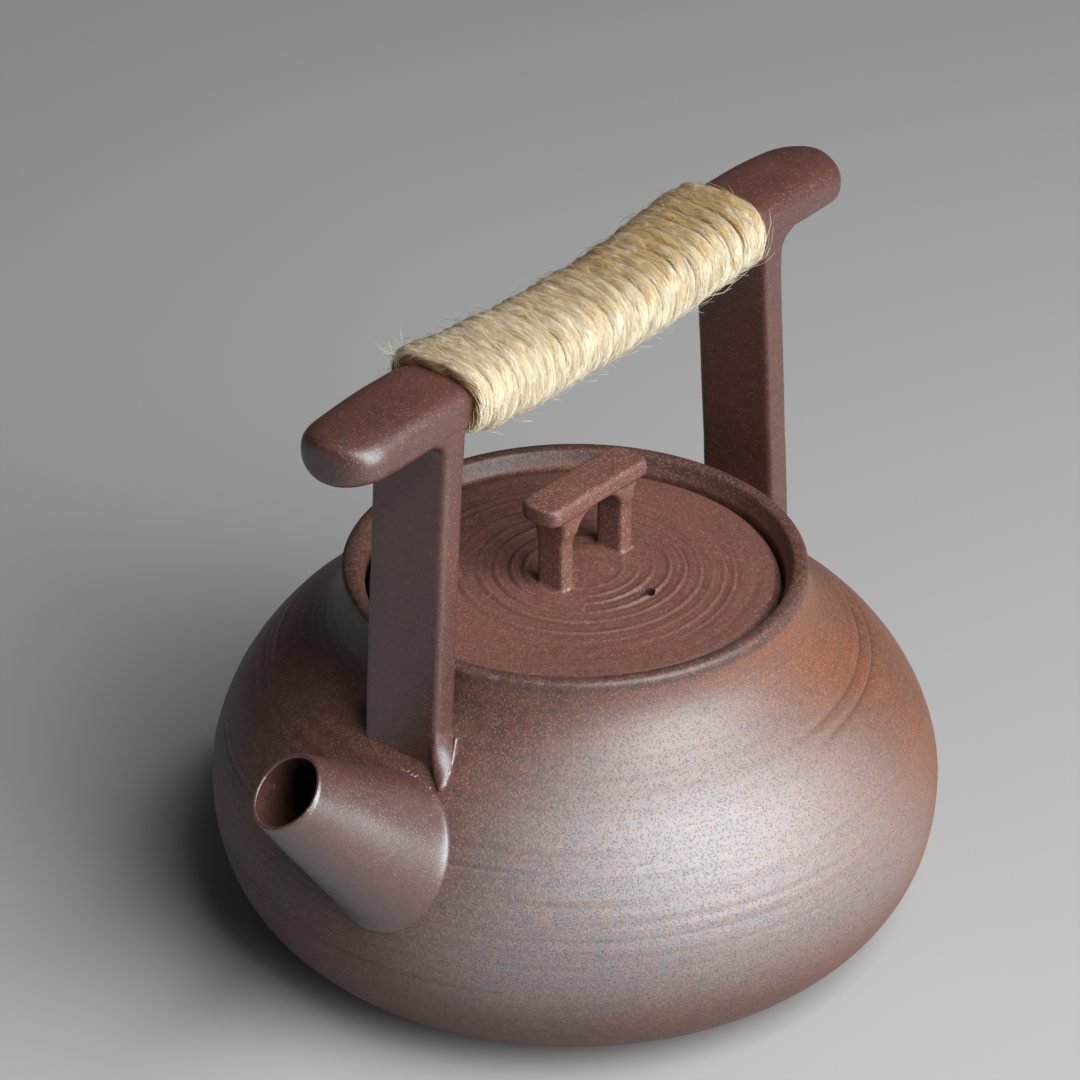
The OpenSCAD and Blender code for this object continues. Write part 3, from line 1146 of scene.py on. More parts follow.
    def flank(self) -> Array:
        """Soft hollow from the shoulder up to the collar's waist.

        Returns:
            Radius and height of each point.
        """
        radius = self.collar_r + self.hollow + np.array([self.fine, 0.0])
        before, start = np.stack([radius, self.shoulder(radius)], -1)
        end = np.array([self.waist_r, self.waist_h])
        reach = self.flank_reach * np.linalg.norm(end - start)
        lean = math.radians(self.collar_lean)
        lead = start + reach * unit(start - before)
        pull = end - reach * np.array([-math.sin(lean), math.cos(lean)])
        t = np.linspace(0, 1, self.flank_points)[:, None]
        return (1 - t) ** 3 * start + 3 * (1 - t) ** 2 * t * lead + 3 * (1 - t) * t**2 * pull + t**3 * end

    def outside(self) -> Array:
        """Outline from the foot up to the top of the rim.

        Returns:
            Radius and height of each point.
        """
        part = (self.collar_r + self.hollow - self.neck_r) / (self.belly_r - self.neck_r)
        last = math.degrees(math.acos(part ** (self.shoulder_power / 2)))
        rim = arc((self.rim_r - self.rim_round, self.rim_h - self.rim_round), self.rim_round, 0, 90)
        line = np.vstack([
            self.curve(self.foot_r, self.belly_r, 0.0, self.foot_power)[::-1],
            self.curve(self.neck_r, self.belly_r, self.neck_h, self.shoulder_power, last)[1:],
            self.flank()[1:], rim])
        return soften(resample(line, self.fine), 3)

    def inside(self) -> Array:
        """Outline from the top of the rim down over the ledge and the cavity to the floor.

        Returns:
            Radius and height of each point.
        """
        rim_in, crisp = self.rim_r - self.rim_t, self.rim_crisp
        corner = arc((rim_in + self.rim_slope + crisp, self.rim_h - crisp), crisp, *self.rim_turn)
        ledge = (self.throat_r, self.ledge_h)
        mouth = np.vstack([corner, [(rim_in, self.rim_h - self.rim_deep), (rim_in, self.ledge_h), ledge]])
        belly = self.belly_r - self.wall
        cavity = np.vstack([
            [ledge],
            self.curve(self.throat_r, belly, self.neck_h - self.wall, self.shoulder_power)[::-1],
            self.curve(self.foot_r - self.wall, belly, self.floor_t, self.foot_power)[1:],
            [(0.0, self.floor_t)]])
        return np.vstack([soften(resample(mouth, self.fine), 1), soften(resample(cavity, self.plain), 1)[1:]])

    def unseen(self) -> list[Groove]:
        """Grooves on the side that the photograph doesn't show, drawn like the others.

        Returns:
            The grooves.
        """
        draw = np.random.default_rng(self.unseen_seed)
        grooves = []
        for _ in range(self.unseen_grooves):
            start = draw.uniform(*self.unseen_start)
            sizes = [draw.uniform(*span) * MM for span in self.unseen_mm]
            grooves.append(Groove(*sizes, start, start + draw.uniform(*self.unseen_turn)))
        return grooves

    def marks(self, outline: Array) -> Array:
        """Throwing marks on the outside.

        Args:
            outline: Radius and height of the outside's points.

        Returns:
            Distance outwards for each point and each of the sides.
        """
        turn = around(self.sides)[None, :]
        height = outline[:, 1, None]
        shown = ease(0.5 + self.patches.at(turn, height))
        ridges = np.sin(math.tau * height / self.ridge_pitch + turn + self.ridge_sway.at(turn, height))
        slant = self.line_slant * turn
        lines = np.sin(math.tau * height / self.line_pitch + slant + self.line_sway.at(turn, height))
        move = self.sway.at(turn, height) + self.ridge_size * ridges * shown
        move = move + self.line_size * lines * (1 + self.line_least - shown)
        for groove in (*SEEN_GROOVES, *self.unseen()):
            move = move - groove.cut(height, turn)
        calm = ease((height - self.calm_low) / self.calm_foot) * ease((self.rim_h - height) / self.calm_rim)
        return move * calm

    def build(self, spout: "Spout") -> Mesh:
        """Turns the wall and cuts the port behind the spout.

        Args:
            spout: Spout that the port opens into.

        Returns:
            The wall.
        """
        ring = self.foot_r - self.foot_ring
        base = resample(np.array([(0.0, self.foot_groove), (ring - self.foot_slope, self.foot_groove),
                                  (ring, 0.0), (self.foot_r, 0.0)]), self.coarse)
        out, inner = self.outside(), self.inside()
        lift = np.vstack([np.zeros((len(base) - 1, self.sides)), self.marks(out)[1:],
                          np.zeros((len(inner) - 2, self.sides))])
        outline = np.vstack([base, out[1:], inner[1:]])
        mesh = mesh_of("pot_shell", *lathe(outline, self.sides, lift))
        return carved(mesh, rod(*map(spout.axis_point, self.port_depths), self.port_r))

    def dress(self, mesh: Mesh, clay: Material) -> None:
        """Shows the wall in its clay, and the strainer behind the spout in the same.

        Args:
            mesh: The wall.
            clay: Its material.
        """
        self.show(mesh, "body_clay", clay, "pot_body", "collar_ring")
        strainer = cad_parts["strainer_dome"]
        strainer.data.materials.clear()
        strainer.data.materials.append(clay)


@dataclass
class Spout(SubAssembly):
    """The slanted cone luted on a little askew, with its thin lip and the slip left at its seam."""

    rise: float = 43.5
    turn: float = -11.0
    flare: float = 11.9
    mouth_r: float = 8.15 * MM
    mouth_h: float = 69.8 * MM
    spout_out: float = 14.6 * MM
    lip_t: float = 1.8 * MM
    lip_edge: float = 0.9 * MM
    lip_depth: float = 9 * MM
    lip_turn: Span = (15, 165)
    lip_rows: int = 8
    cut_up: float = 0.1
    cut_side: float = -0.12
    bury: float = 1.5 * MM
    wobble: Waver = Waver(12, 4, 22 * MM)
    cut_wobble: float = 0.14 * MM
    wall_wobble: float = 0.12 * MM
    seam_far: float = 60 * MM
    seam_step: float = 0.1 * MM
    seam_reach: float = 0.9 * MM
    seam_swell: float = 0.45 * MM
    sides: int = 180
    rows: int = 90
    crumbs: int = 26
    crumb_seed: int = 19
    crumb_spread: float = 11
    crumb_rise: Span = (-0.2, 0.7)
    crumb_r: Span = (0.25, 0.6)
    crumb_grid: tuple[int, int] = (6, 9)
    crumb_rough: float = 0.35
    crumb_long: Span = (1, 2)
    ridge_r: float = 0.5 * MM
    ridge_step: float = 0.3 * MM
    ridge_soft: int = 8
    ridge_taper: Span = (0.12, 0.92)
    ridge_sides: int = 12
    ridge_sink: float = 0.15 * MM
    ridge_tall: float = 1.2
    ridge_wobble: Waver = Waver(91, 0, 1.3 * MM, 0.2)
    ridge_places: tuple[Span, ...] = (
        (50.6 * MM, 10.1 * MM), (54.1 * MM, 11.8 * MM), (57.7 * MM, 12.9 * MM), (58.7 * MM, 12.7 * MM))

    def __post_init__(self) -> None:
        """Works out the axis from the frame, the slope and the turn."""
        self.mouth = np.array([box_of("pot_body")[1][0] + self.spout_out, 0.0, self.mouth_h])
        self.out = direction(self.turn, self.rise)
        self.side = direction(self.turn + 90)
        self.up = np.cross(self.out, self.side)
        self.grow = math.tan(math.radians(self.flare))
        self.turns = around(self.sides)

    def axis_point(self, depth: float) -> Array:
        """Point of the axis at a depth behind the mouth."""
        return self.mouth - depth * self.out

    def ring(self, depth: Array, radius: Array) -> Array:
        """Points round the axis, at a depth and radius for each side."""
        ring = radius[:, None] * hoop(self.turns[:, None], self.up, self.side)
        return self.mouth - depth[:, None] * self.out + ring

    def seam(self, pot: PotShell, start_r: float) -> Array:
        """Depth at which a cone that starts with a radius meets the body, for each side.

        Args:
            pot: Body that the spout is luted to.
            start_r: Radius of the cone at the mouth.

        Returns:
            The depths.
        """
        found = np.full(self.sides, np.nan)
        for depth in np.arange(0, self.seam_far, self.seam_step):
            points = self.ring(np.full(self.sides, depth), np.full(self.sides, start_r + self.grow * depth))
            inside = np.hypot(points[:, 0], points[:, 1]) < pot.girth(points[:, 2])
            found = np.where(np.isnan(found) & inside & (points[:, 2] < pot.waist_h), depth, found)
        return found

    def build(self, pot: PotShell) -> tuple[Mesh, Mesh]:
        """Makes the cone with its slanting cut at the lip, and the slip at its seam.

        Args:
            pot: Body that the spout is luted to.

        Returns:
            The cone and the slip.
        """
        cut = self.mouth_r * hoop(self.turns, self.cut_up, self.cut_side)
        cut = cut + self.cut_wobble * self.wobble.at(self.turns, np.zeros(self.sides))
        edge = self.lip_edge / 2
        outer, bore = self.seam(pot, self.mouth_r), self.seam(pot, self.mouth_r - self.lip_t)
        rings = []
        for part in np.linspace(0, 1, self.rows):
            depth = (outer + self.bury) * (1 - part) + (cut + edge) * part
            swell = self.seam_swell * np.exp(-np.abs(outer - depth) / self.seam_reach)
            uneven = self.wall_wobble * self.wobble.at(self.turns, depth)
            rings.append(self.ring(depth, self.mouth_r + self.grow * depth + swell + uneven))
        for angle in np.radians(np.linspace(*self.lip_turn, self.lip_rows)):
            radius = self.mouth_r + self.grow * cut - edge + edge * math.cos(angle)
            rings.append(self.ring(cut + edge - edge * math.sin(angle), radius))
        for part in np.linspace(0, 1, self.rows // 2):
            depth = (cut + edge) * (1 - part) + (bore + self.bury) * part
            wall = self.lip_edge + (self.lip_t - self.lip_edge) * ease((depth - cut) / self.lip_depth)
            rings.append(self.ring(depth, self.mouth_r - wall + self.grow * depth))
        points, faces = skin(np.stack(rings))
        cone = mesh_of("spout_cone", points[:-2], [face for face in faces if len(face) == 4])
        return cone, self.slip(outer, pot)

    def ridge(self, pot: PotShell) -> Skin:
        """Thin bead of slip along the right edge of the leaf below the front post.

        Args:
            pot: Body that the bead lies on.

        Returns:
            The bead's points and faces.
        """
        places = soften(resample(np.array(self.ridge_places), self.ridge_step), self.ridge_soft)
        away = np.hypot(places[:, 0], places[:, 1])
        line = np.column_stack([places, pot.top_height(away) - self.ridge_sink])
        out = unit(np.column_stack([places / away[:, None], np.ones(len(places))]))
        side = np.cross(unit(np.gradient(line, axis=0)), out)
        size = self.ridge_r * np.sqrt(np.sin(math.pi * np.linspace(*self.ridge_taper, len(line))))
        size = (size * (1 + self.ridge_wobble.along(line[:, 0])))[:, None, None]
        turn = around(self.ridge_sides)[None, :, None]
        return skin(line[:, None] + size * hoop(turn, side[:, None], self.ridge_tall * out[:, None]))

    def crumb(self, seam: Array, draw: np.random.Generator) -> Skin:
        """A small lump of slip by the top of the seam.

        Args:
            seam: Depth of the seam at each side.
            draw: Source of the random draws.

        Returns:
            The lump's points and faces.
        """
        side = int(draw.normal(0, self.crumb_spread)) % self.sides
        depth = seam - draw.uniform(*self.crumb_rise) * MM
        middle = self.ring(depth, self.mouth_r + self.grow * depth)[side]
        size = draw.uniform(*self.crumb_r) * MM
        level = np.radians(np.linspace(*self.lip_turn, self.crumb_grid[0]))[:, None]
        turn = around(self.crumb_grid[1])[None, :]
        lump = size * (1 + self.crumb_rough * draw.uniform(-1, 1, self.crumb_grid))
        flat = lump * np.sin(level)
        length = flat * np.cos(turn) * draw.uniform(*self.crumb_long)
        return skin(middle + np.stack([length, flat * np.sin(turn), lump * np.cos(level)], -1))

    def slip(self, seam: Array, pot: PotShell) -> Mesh:
        """Crumbs of slip along the top of the seam, and the ridge that a finger left beside the post.

        Args:
            seam: Depth of the seam at each side.
            pot: Body that the slip lies on.

        Returns:
            The slip.
        """
        draw = np.random.default_rng(self.crumb_seed)
        crumbs = [self.crumb(seam, draw) for _ in range(self.crumbs)]
        return mesh_of("seam_slip", *joined([self.ridge(pot), *crumbs]))

    def dress(self, meshes: tuple[Mesh, Mesh], clay: Material) -> None:
        """Shows the cone and the slip in the spout's own clay, paler at the lip."""
        self.show(meshes[0], "body_clay", clay, "spout")
        self.show(meshes[1], "body_clay", clay)


@dataclass
class Handle(SubAssembly):
    """The bar and its two posts, pressed into one piece of clay."""

    bar_t: float = 8.5 * MM
    bar_h: float = 141 * MM
    bar_sag: float = 3.2 * MM
    bar_waist: float = 2.6 * MM
    tip_droop: float = 1.3 * MM
    tip_reach: float = 0.4 * MM
    tip_swell: float = 0.14
    tip_share: float = 0.45
    tip_power: float = 2.5
    tip_gap: float = 1 * MM
    tip_thin: float = 0.18
    tip_least: float = 1e-4
    tip_turn: Span = (6, 88)
    tip_rows: int = 18
    bar_rows: int = 90
    bar_sides: int = 72
    bar_power: float = 3.0
    post_power: float = 3.2
    under_power: float = 9.0
    power_start: float = 3 * MM
    power_run: float = 4 * MM
    tip_section: float = 2.3
    tip_under: float = 3.0
    post_span: float = 101.8 * MM
    post_t: float = 6 * MM
    post_lean: float = 4.3
    post_round: float = 1.2 * MM
    post_flush: float = 14 * MM
    post_inset: float = 0.01
    post_sides: int = 64
    post_rows: tuple[tuple[float, float, int], ...] = ((0, 0.12, 14), (0.14, 0.9, 30), (0.905, 1.04, 24))
    post_fillet: float = 4.5 * MM
    foot_fillet: float = 0.25 * MM
    leaf_places: tuple[Triple, ...] = (
        (52.7 * MM, 8.7 * MM, 3.0 * MM), (54.3 * MM, 10.1 * MM, 0.5 * MM), (58.8 * MM, 12.6 * MM, -0.3 * MM))
    leaf_half: float = 3.2 * MM
    leaf_t: float = 0.9 * MM
    leaf_tip: float = 0.02
    leaf_power: float = 1.5
    leaf_rows: int = 30
    leaf_sides: int = 24
    bury: float = 2.6 * MM
    long_sway: Waver = Waver(27, 0, 17 * MM, 0.035 * MM, 10)
    long_slant: float = 0.7
    cross_sway: Waver = Waver(28, 0, 9 * MM, 0.035 * MM, 10)
    cross_slant: float = -0.8
    grain: float = 0.45 * MM
    relax: int = 5

    def __post_init__(self) -> None:
        """Takes the main sizes from the frame."""
        low, high = box_of("handle_bar")
        post_low, post_high = box_of("front_post")
        self.back = (low[0] + high[0]) / 2
        self.bar_half = (high[0] - low[0]) / 2 + self.tip_reach
        self.bar_w = high[1] - low[1]
        self.post_w = post_high[1] - post_low[1]
        self.tip_round = self.bar_w * self.tip_share
        self.post_top = self.post_span / 2
        self.wrap_half = self.post_top - self.post_t / 2
        self.under_h = self.bar_h - self.bar_t

    def swell(self, u: Array) -> Array:
        """1 in the middle of the wrapped stretch, 0 past its ends."""
        return np.where(np.abs(u) < self.wrap_half, np.cos(math.pi / 2 * u / self.wrap_half), 0)

    def close(self, u: Array) -> Array:
        """Share of the bar's width that is left towards a tip."""
        part = np.clip((np.abs(u) - self.bar_half + self.tip_round) / self.tip_round, 0, 1)
        return np.maximum(1 - part**self.tip_power, self.tip_least) ** (1 / self.tip_power)

    def tip(self, u: Array) -> Array:
        """0 as far as the posts, 1 at the tips."""
        start = self.post_top + self.post_t / 2 + self.tip_gap
        return np.clip((np.abs(u) - start) / (self.bar_half - start), 0, 1)

    def middle(self, u: Array) -> Array:
        """Height of the bar's middle line."""
        return self.bar_h - self.bar_t / 2 - self.bar_sag * self.swell(u) - self.tip_droop * self.tip(u) ** 2

    def squareness(self, u: Array, turn: Array) -> Array:
        """Power of the bar's section: soft under the twine, sharp over the posts, rounder at the tips.

        Args:
            u: Places along the bar.
            turn: Turns round its section, in radians.

        Returns:
            The powers.
        """
        over = ease((np.abs(u) - self.wrap_half + self.power_start) / self.power_run)
        upper = self.bar_power + (self.post_power - self.bar_power) * over
        lower = self.bar_power + (self.under_power - self.bar_power) * over
        upper = upper + (self.tip_section - upper) * ease(self.tip(u))
        lower = lower + (self.tip_under - lower) * ease(self.tip(u))
        return np.where(np.sin(turn) > 0, upper, lower)

    def point(self, u: Array, turn: Array, off: Array | float) -> Array:
        """Points at a distance along the bar and a turn round it, raised off its skin.

        Args:
            u: Distance along the bar from its middle.
            turn: Turn round the bar, in radians.
            off: Height over the skin.

        Returns:
            Points in the pot's frame.
        """
        square = self.squareness(u, turn)
        c, s = signed_power(np.cos(turn), 2 / square), signed_power(np.sin(turn), 2 / square)
        wide = (self.bar_w / 2 - self.bar_waist / 2 * self.swell(u)) * self.close(u)
        thick = self.bar_t / 2 * (1 + self.tip_swell * self.tip(u)) * self.close(u) ** self.tip_thin
        out = unit(np.stack([signed_power(c, square - 1) / wide, signed_power(s, square - 1) / thick], -1))
        return np.stack([self.back + u + 0 * c, wide * c + off * out[..., 0],
                         self.middle(u) + thick * s + off * out[..., 1]], -1)

    def bar(self) -> Skin:
        """The bar as a closed skin.

        Returns:
            The bar's points and faces.
        """
        turn = np.radians(np.linspace(*self.tip_turn, self.tip_rows))
        tips = self.bar_half - self.tip_round + self.tip_round * np.sin(turn)
        flat = np.linspace(-1, 1, self.bar_rows) * (self.bar_half - self.tip_round)
        u = np.concatenate([-tips[::-1], flat, tips])
        return skin(self.point(u[:, None], around(self.bar_sides)[None, :], 0.0))

    def post(self, side: int, pot: PotShell) -> Skin:
        """A slab post whose foot follows the shoulder.

        Args:
            side: 1 for the front post, -1 for the rear one.
            pot: What the post stands on.

        Returns:
            Points and faces of the closed post.
        """
        lean = math.tan(math.radians(self.post_lean))
        foot_u = self.post_top + (self.under_h - pot.collar_h) * lean
        flat = rounded_ring(self.post_t / 2, self.post_w / 2, self.post_round, self.post_sides)
        across = self.back + side * (foot_u + flat[:, 0])
        foot = pot.top_height(np.hypot(across, flat[:, 1])) - self.bury
        rings = []
        for part in np.concatenate([np.linspace(*rows) for rows in self.post_rows]):
            height = foot + (self.under_h - foot) * part
            below = self.under_h - height
            low = np.maximum(0, self.foot_fillet - np.maximum(0, height - foot - self.bury))
            ring = flat + unit(flat) * (low**2 / self.foot_fillet)[:, None]
            spread = np.where(ring[:, 0] > 0, fillet(self.post_fillet, below), 0)
            u = self.post_top + below * lean + ring[:, 0] + spread
            flush = (self.bar_w / self.post_w - 1 - self.post_inset) * ease(1 - below / self.post_flush)
            rings.append(np.stack([self.back + side * u, ring[:, 1] * (1 + flush), height], -1))
        return skin(np.stack(rings))

    def leaf(self, pot: PotShell) -> Skin:
        """The leaf of clay pressed from the front post's narrow face down to the spout's seam.

        Args:
            pot: Body that the leaf lies on.

        Returns:
            The leaf's points and faces.
        """
        part = np.linspace(0, 1, self.leaf_rows)[:, None]
        first, middle, last = np.array(self.leaf_places)
        line = (1 - part) ** 2 * first + 2 * part * (1 - part) * middle + part**2 * last
        away = np.hypot(line[:, 0], line[:, 1])
        line[:, 2] += pot.top_height(away)
        slope = unit(np.column_stack([line[:, :2] / away[:, None], np.ones(len(line))]))
        out = unit((1 - part) * np.array([0.0, 1.0, 0.0]) + part * slope)
        side = unit(np.cross(unit(np.gradient(line, axis=0)), out))
        half = self.leaf_half * np.sqrt(np.maximum(self.leaf_tip, 1 - part**self.leaf_power))
        turn = around(self.leaf_sides)[None, :, None]
        return skin(line[:, None] + hoop(turn, (half * side)[:, None], self.leaf_t * out[:, None]))

    def build(self, pot: PotShell) -> Mesh:
        """Presses the bar, the posts and the leaf into one skin and wavers it a little.

        Args:
            pot: Body that the posts stand on.

        Returns:
            The handle.
        """
        parts = [self.bar(), self.post(1, pot), self.post(-1, pot), self.leaf(pot)]
        mesh = fused("handle_frame", parts, self.grain, self.relax)
        points = points_of(mesh)
        x, y, z = points.T
        uneven = self.long_sway.along(x + self.long_slant * z)
        uneven = uneven + self.cross_sway.along(y + self.cross_slant * z)
        return moved(mesh, points + points_of(mesh, "normal") * uneven[:, None])

    def dress(self, mesh: Mesh, clay: Material) -> None:
        """Shows the handle in its darker clay."""
        self.show(mesh, "handle_clay", clay, "handle_bar", "front_post", "rear_post")


@dataclass
class TwineWrap(SubAssembly):
    """Jute twine wound round the bar from post to post, with its loose fibres."""

    turns: int = 24
    turn_points: int = 140
    cord_out: float = 2.2 * MM
    cord_along: float = 2.0 * MM
    sunk: float = 0.5
    end_share: float = 0.6
    end_length: float = 26 * MM
    end_gap: float = 0.3 * MM
    drift: Waver = Waver(61, 0, 2.1, 0.3 * MM)
    jitter: Waver = Waver(62, 0, 0.45, 0.2 * MM)
    bulge: Waver = Waver(63, 0, 0.9, 0.16 * MM)
    plies: int = 3
    ply_out: float = 0.26
    ply_r: float = 0.76
    lay: float = 27 * MM
    lumps: Waver = Waver(71, 5, 3 * MM, 0.05, 24)
    strand_length: float = 3 * MM
    # Painted shade on the cord: darker on its sides and between turns, lighter on the plies' crests
    face_start: float = 0.3
    face_run: float = 0.6
    painted_facing_light: float = 0.85
    painted_crest_light: float = 0.3
    sides: int = 24
    step: float = 0.5 * MM
    # Painted golden-brown shade on the cord's top, stronger towards the far half
    top_shade_start: float = 25 * MM
    top_shade_run: float = 45 * MM
    top_shade_least: float = 0.35
    top_shade_side: float = 0.15
    top_shade_spread: float = 0.7
    hair_seed: int = 83
    hugging: int = 13000
    hug_rise: Span = (0.02, 0.24)
    flyaway: int = 900
    fly_rise: Span = (0.3, 1.3)
    hair_steps: Span = (4, 15)
    hair_turn: float = 0.85
    hair_twist: Span = (0.2, 1.0)
    hair_bow: Span = (1.2, 2.6)
    hair_base: float = 0.99
    hair_room: int = 40
    hair_across: Triple = (0.31, 0.52, 0.79)
    hair_taper: Span = (0.12, 0.95)
    hair_thin: float = 0.35
    hair_sizes: Span = (0.7, 1.3)
    hair_tones: Span = (0.1, 1.0)
    hair_strands: Span = (0, 50)
    hair_r: float = 0.04 * MM
    hair_points: int = 6
    tuft: int = 46
    tuft_place: Triple = (1.0, -3.0, 1.0)
    tuft_way: Triple = (0.35, -0.75, 0.35)
    tuft_spread: float = 0.35
    tuft_root: float = 0.8 * MM
    tuft_mm: Span = (2.5, 5.5)
    tuft_curl: float = 1.2 * MM

    def route(self, handle: Handle) -> None:
        """Lays the cord's middle line and the directions across it.

        Args:
            handle: The bar that the cord is wound on.
        """
        first = handle.wrap_half - self.end_gap - self.cord_along
        turn = np.linspace(0, self.turns, self.turns * self.turn_points + 1)
        drift = (self.drift.along(turn) + self.jitter.along(turn)) * ease(np.minimum(turn, self.turns - turn))
        u = first - 2 * first * turn / self.turns + drift
        off = (1 - self.sunk) * self.cord_out + self.bulge.along(turn)
        line = handle.point(u, math.tau * turn - math.pi / 2, off)
        axis = np.stack([handle.back + u, 0 * u, handle.middle(u)], -1)
        both = resample(np.hstack([line, axis]), self.step * math.sqrt(2))
        self.line, axis = both[:, :3], both[:, 3:]
        self.along = unit(np.gradient(self.line, axis=0))
        out = self.line - axis
        self.out = unit(out - self.along * np.sum(out * self.along, -1, keepdims=True))
        self.side = np.cross(self.along, self.out)
        self.length = run_of(self.line)
        rest = np.minimum(self.length, self.length[-1] - self.length)
        self.size = self.end_share + (1 - self.end_share) * ease(rest / self.end_length)

    def surface(self, at: Array, turn: Array, share: Array) -> Array:
        """Points round the cord: index along the line, turn round it and share of its radius."""
        out = (self.cord_out * self.size[at] * share * np.cos(turn))[..., None] * self.out[at]
        return self.line[at] + out + (self.cord_along * share * np.sin(turn))[..., None] * self.side[at]

    def cord(self) -> Mesh:
        """The laid cord: plies that twist round each other, pressed a little flat.

        Returns:
            The cord, with its marks.
        """
        count = len(self.line)
        turn = around(self.sides)[None, :]
        own = turn - (math.tau * self.length / self.lay)[:, None]
        share = np.zeros((count, self.sides))
        for k in range(self.plies):
            away = own - math.tau * k / self.plies
            reach = np.sqrt(np.maximum(0, self.ply_r**2 - (self.ply_out * np.sin(away)) ** 2))
            share = np.maximum(share, np.where(np.cos(away) > 0, self.ply_out * np.cos(away) + reach, 0))
        raised = (share - share.min()) / (share.max() - share.min())
        share = share + self.lumps.at(turn, self.length[:, None])
        at = np.repeat(np.arange(count)[:, None], self.sides, 1)
        mesh = mesh_of("twine_cord", *skin(self.surface(at, turn, share)))
        # Painted shade: darker where the cord turns away into the gaps between turns, lighter on the plies'
        # crests
        facing = ease((np.cos(turn) - self.face_start) / self.face_run)
        tone = np.clip(self.painted_facing_light * facing + self.painted_crest_light * raised * facing, 0, 1)
        strand = np.stack([self.length[at] / self.strand_length, np.cos(own), np.sin(own)], -1)
        self.mark(mesh, strand.reshape(-1, 3), tone.ravel(), self.painted_top_shade(at).ravel())
        return mesh

    def painted_top_shade(self, at: Array) -> Array:
        """Painted shade on the cord's top: 1 on top of the bar's far half, less towards the spout, 0 on its
        sides.

        Args:
            at: Numbers of the points along the twine.

        Returns:
            The painted top shade at each.
        """
        far = ease((self.top_shade_start - self.line[at][..., 0]) / self.top_shade_run)
        top = ease((self.out[at][..., 2] - self.top_shade_side) / self.top_shade_spread)
        return (self.top_shade_least + (1 - self.top_shade_least) * far) * top

    @staticmethod
    def mark(mesh: Mesh, strand: Array, tone: Array, painted_top_shade: Array) -> None:
        """Stores the strand's own coordinates, its tone with painted shade and its painted top shade on the
        mesh, ends filled up.

        Args:
            mesh: Mesh of the cord or of its fibres.
            strand: Strand's own coordinates.
            tone: Tone of each point, with painted shade on the cord.
            painted_top_shade: Painted top shade of each point.
        """
        spare = len(mesh.vertices) - len(tone)
        kinds = (("strand", "FLOAT_VECTOR", "vector"), ("tone", "FLOAT", "value"), ("painted_top_shade", "FLOAT", "value"))
        for (name, kind, key), values in zip(kinds, (strand, tone, painted_top_shade)):
            filled = np.concatenate([values, np.repeat(values[-1:], spare, 0)])
            mesh.attributes.new(name, kind, "POINT").data.foreach_set(key, filled.ravel())

    def hairs(self) -> Mesh:
        """Loose fibres: most hug the cord, some fly away, and a tuft frays by the front post.

        Returns:
            The fibres, with their marks.
        """
        draw = np.random.default_rng(self.hair_seed)
        count = self.hugging + self.flyaway
        part = np.linspace(0, 1, self.hair_points)[None, :]
        start = draw.integers(0, len(self.line) - self.hair_room, count)[:, None]
        steps = draw.uniform(*self.hair_steps, count)[:, None]
        at = np.minimum(start + np.round(steps * part).astype(int), len(self.line) - 1)
        turn = draw.uniform(-self.hair_turn, self.hair_turn, count)[:, None]
        turn = turn + part * draw.normal(*self.hair_twist, count)[:, None]
        hug, fly = (draw.uniform(*span, count) for span in (self.hug_rise, self.fly_rise))
        rise = np.where(np.arange(count) < self.hugging, hug, fly)[:, None]
        share = self.hair_base + rise * part ** draw.uniform(*self.hair_bow, count)[:, None]
        lines = np.vstack([self.surface(at, turn, share), self.frayed(draw)])
        # The loose fibres take the painted top shade as well
        painted_top_shade = np.concatenate([self.painted_top_shade(start[:, 0]), np.zeros(self.tuft)])
        return self.hair_mesh(lines, painted_top_shade, draw)

    def frayed(self, draw: np.random.Generator) -> Array:
        """Fibres of the cord's cut end, which sticks out at the far side by the front post.

        Args:
            draw: Source of the random draws.

        Returns:
            The points of each fibre.
        """
        end = np.argmax(self.line @ np.array(self.tuft_place))
        root = self.line[end] + self.tuft_root * draw.normal(0, 1, (self.tuft, 3))
        heading = unit(np.array(self.tuft_way) + self.tuft_spread * draw.normal(0, 1, (self.tuft, 3)))
        part = np.linspace(0, 1, self.hair_points)[None, :, None]
        length = draw.uniform(*self.tuft_mm, self.tuft)[:, None, None] * MM
        curl = self.tuft_curl * draw.normal(0, 1, (self.tuft, 1, 3))
        return root[:, None] + heading[:, None] * length * part + curl * part**2

    def hair_mesh(self, lines: Array, painted_top_shade: Array, draw: np.random.Generator) -> Mesh:
        """Thin three-sided tubes along the fibres, tapering to their ends.

        Args:
            lines: Points of each fibre.
            painted_top_shade: Painted top shade of each fibre.
            draw: Source of the random draws.

        Returns:
            The fibres, with their marks.
        """
        count, rows = lines.shape[:2]
        along = unit(np.gradient(lines, axis=1))
        side = unit(np.cross(along, np.array(self.hair_across)))
        other = np.cross(along, side)
        full = np.sin(math.pi * np.linspace(*self.hair_taper, rows))
        taper = (self.hair_thin + (1 - self.hair_thin) * full)[None, :, None]
        size = self.hair_r * draw.uniform(*self.hair_sizes, count)[:, None, None] * taper
        rings = lines[:, :, None, :] + np.stack([size * hoop(a, side, other) for a in around(3)], 2)
        row, corner = np.meshgrid(np.arange(rows - 1), np.arange(3), indexing="ij")
        here, beside = row * 3 + corner, row * 3 + (corner + 1) % 3
        tube = np.stack([here, beside, beside + 3, here + 3], -1).reshape(1, -1, 4)
        base = np.arange(count) * rows * 3
        faces = (tube + base[:, None, None]).reshape(-1, 4).tolist()
        last = (rows - 1) * 3
        ends = base[:, None, None] + np.array([(2, 1, 0), (last, last + 1, last + 2)])
        mesh = mesh_of("twine_fibres", rings.reshape(-1, 3), faces + ends.reshape(-1, 3).tolist())
        tone = np.repeat(np.sqrt(draw.uniform(*self.hair_tones, count)), rows * 3)
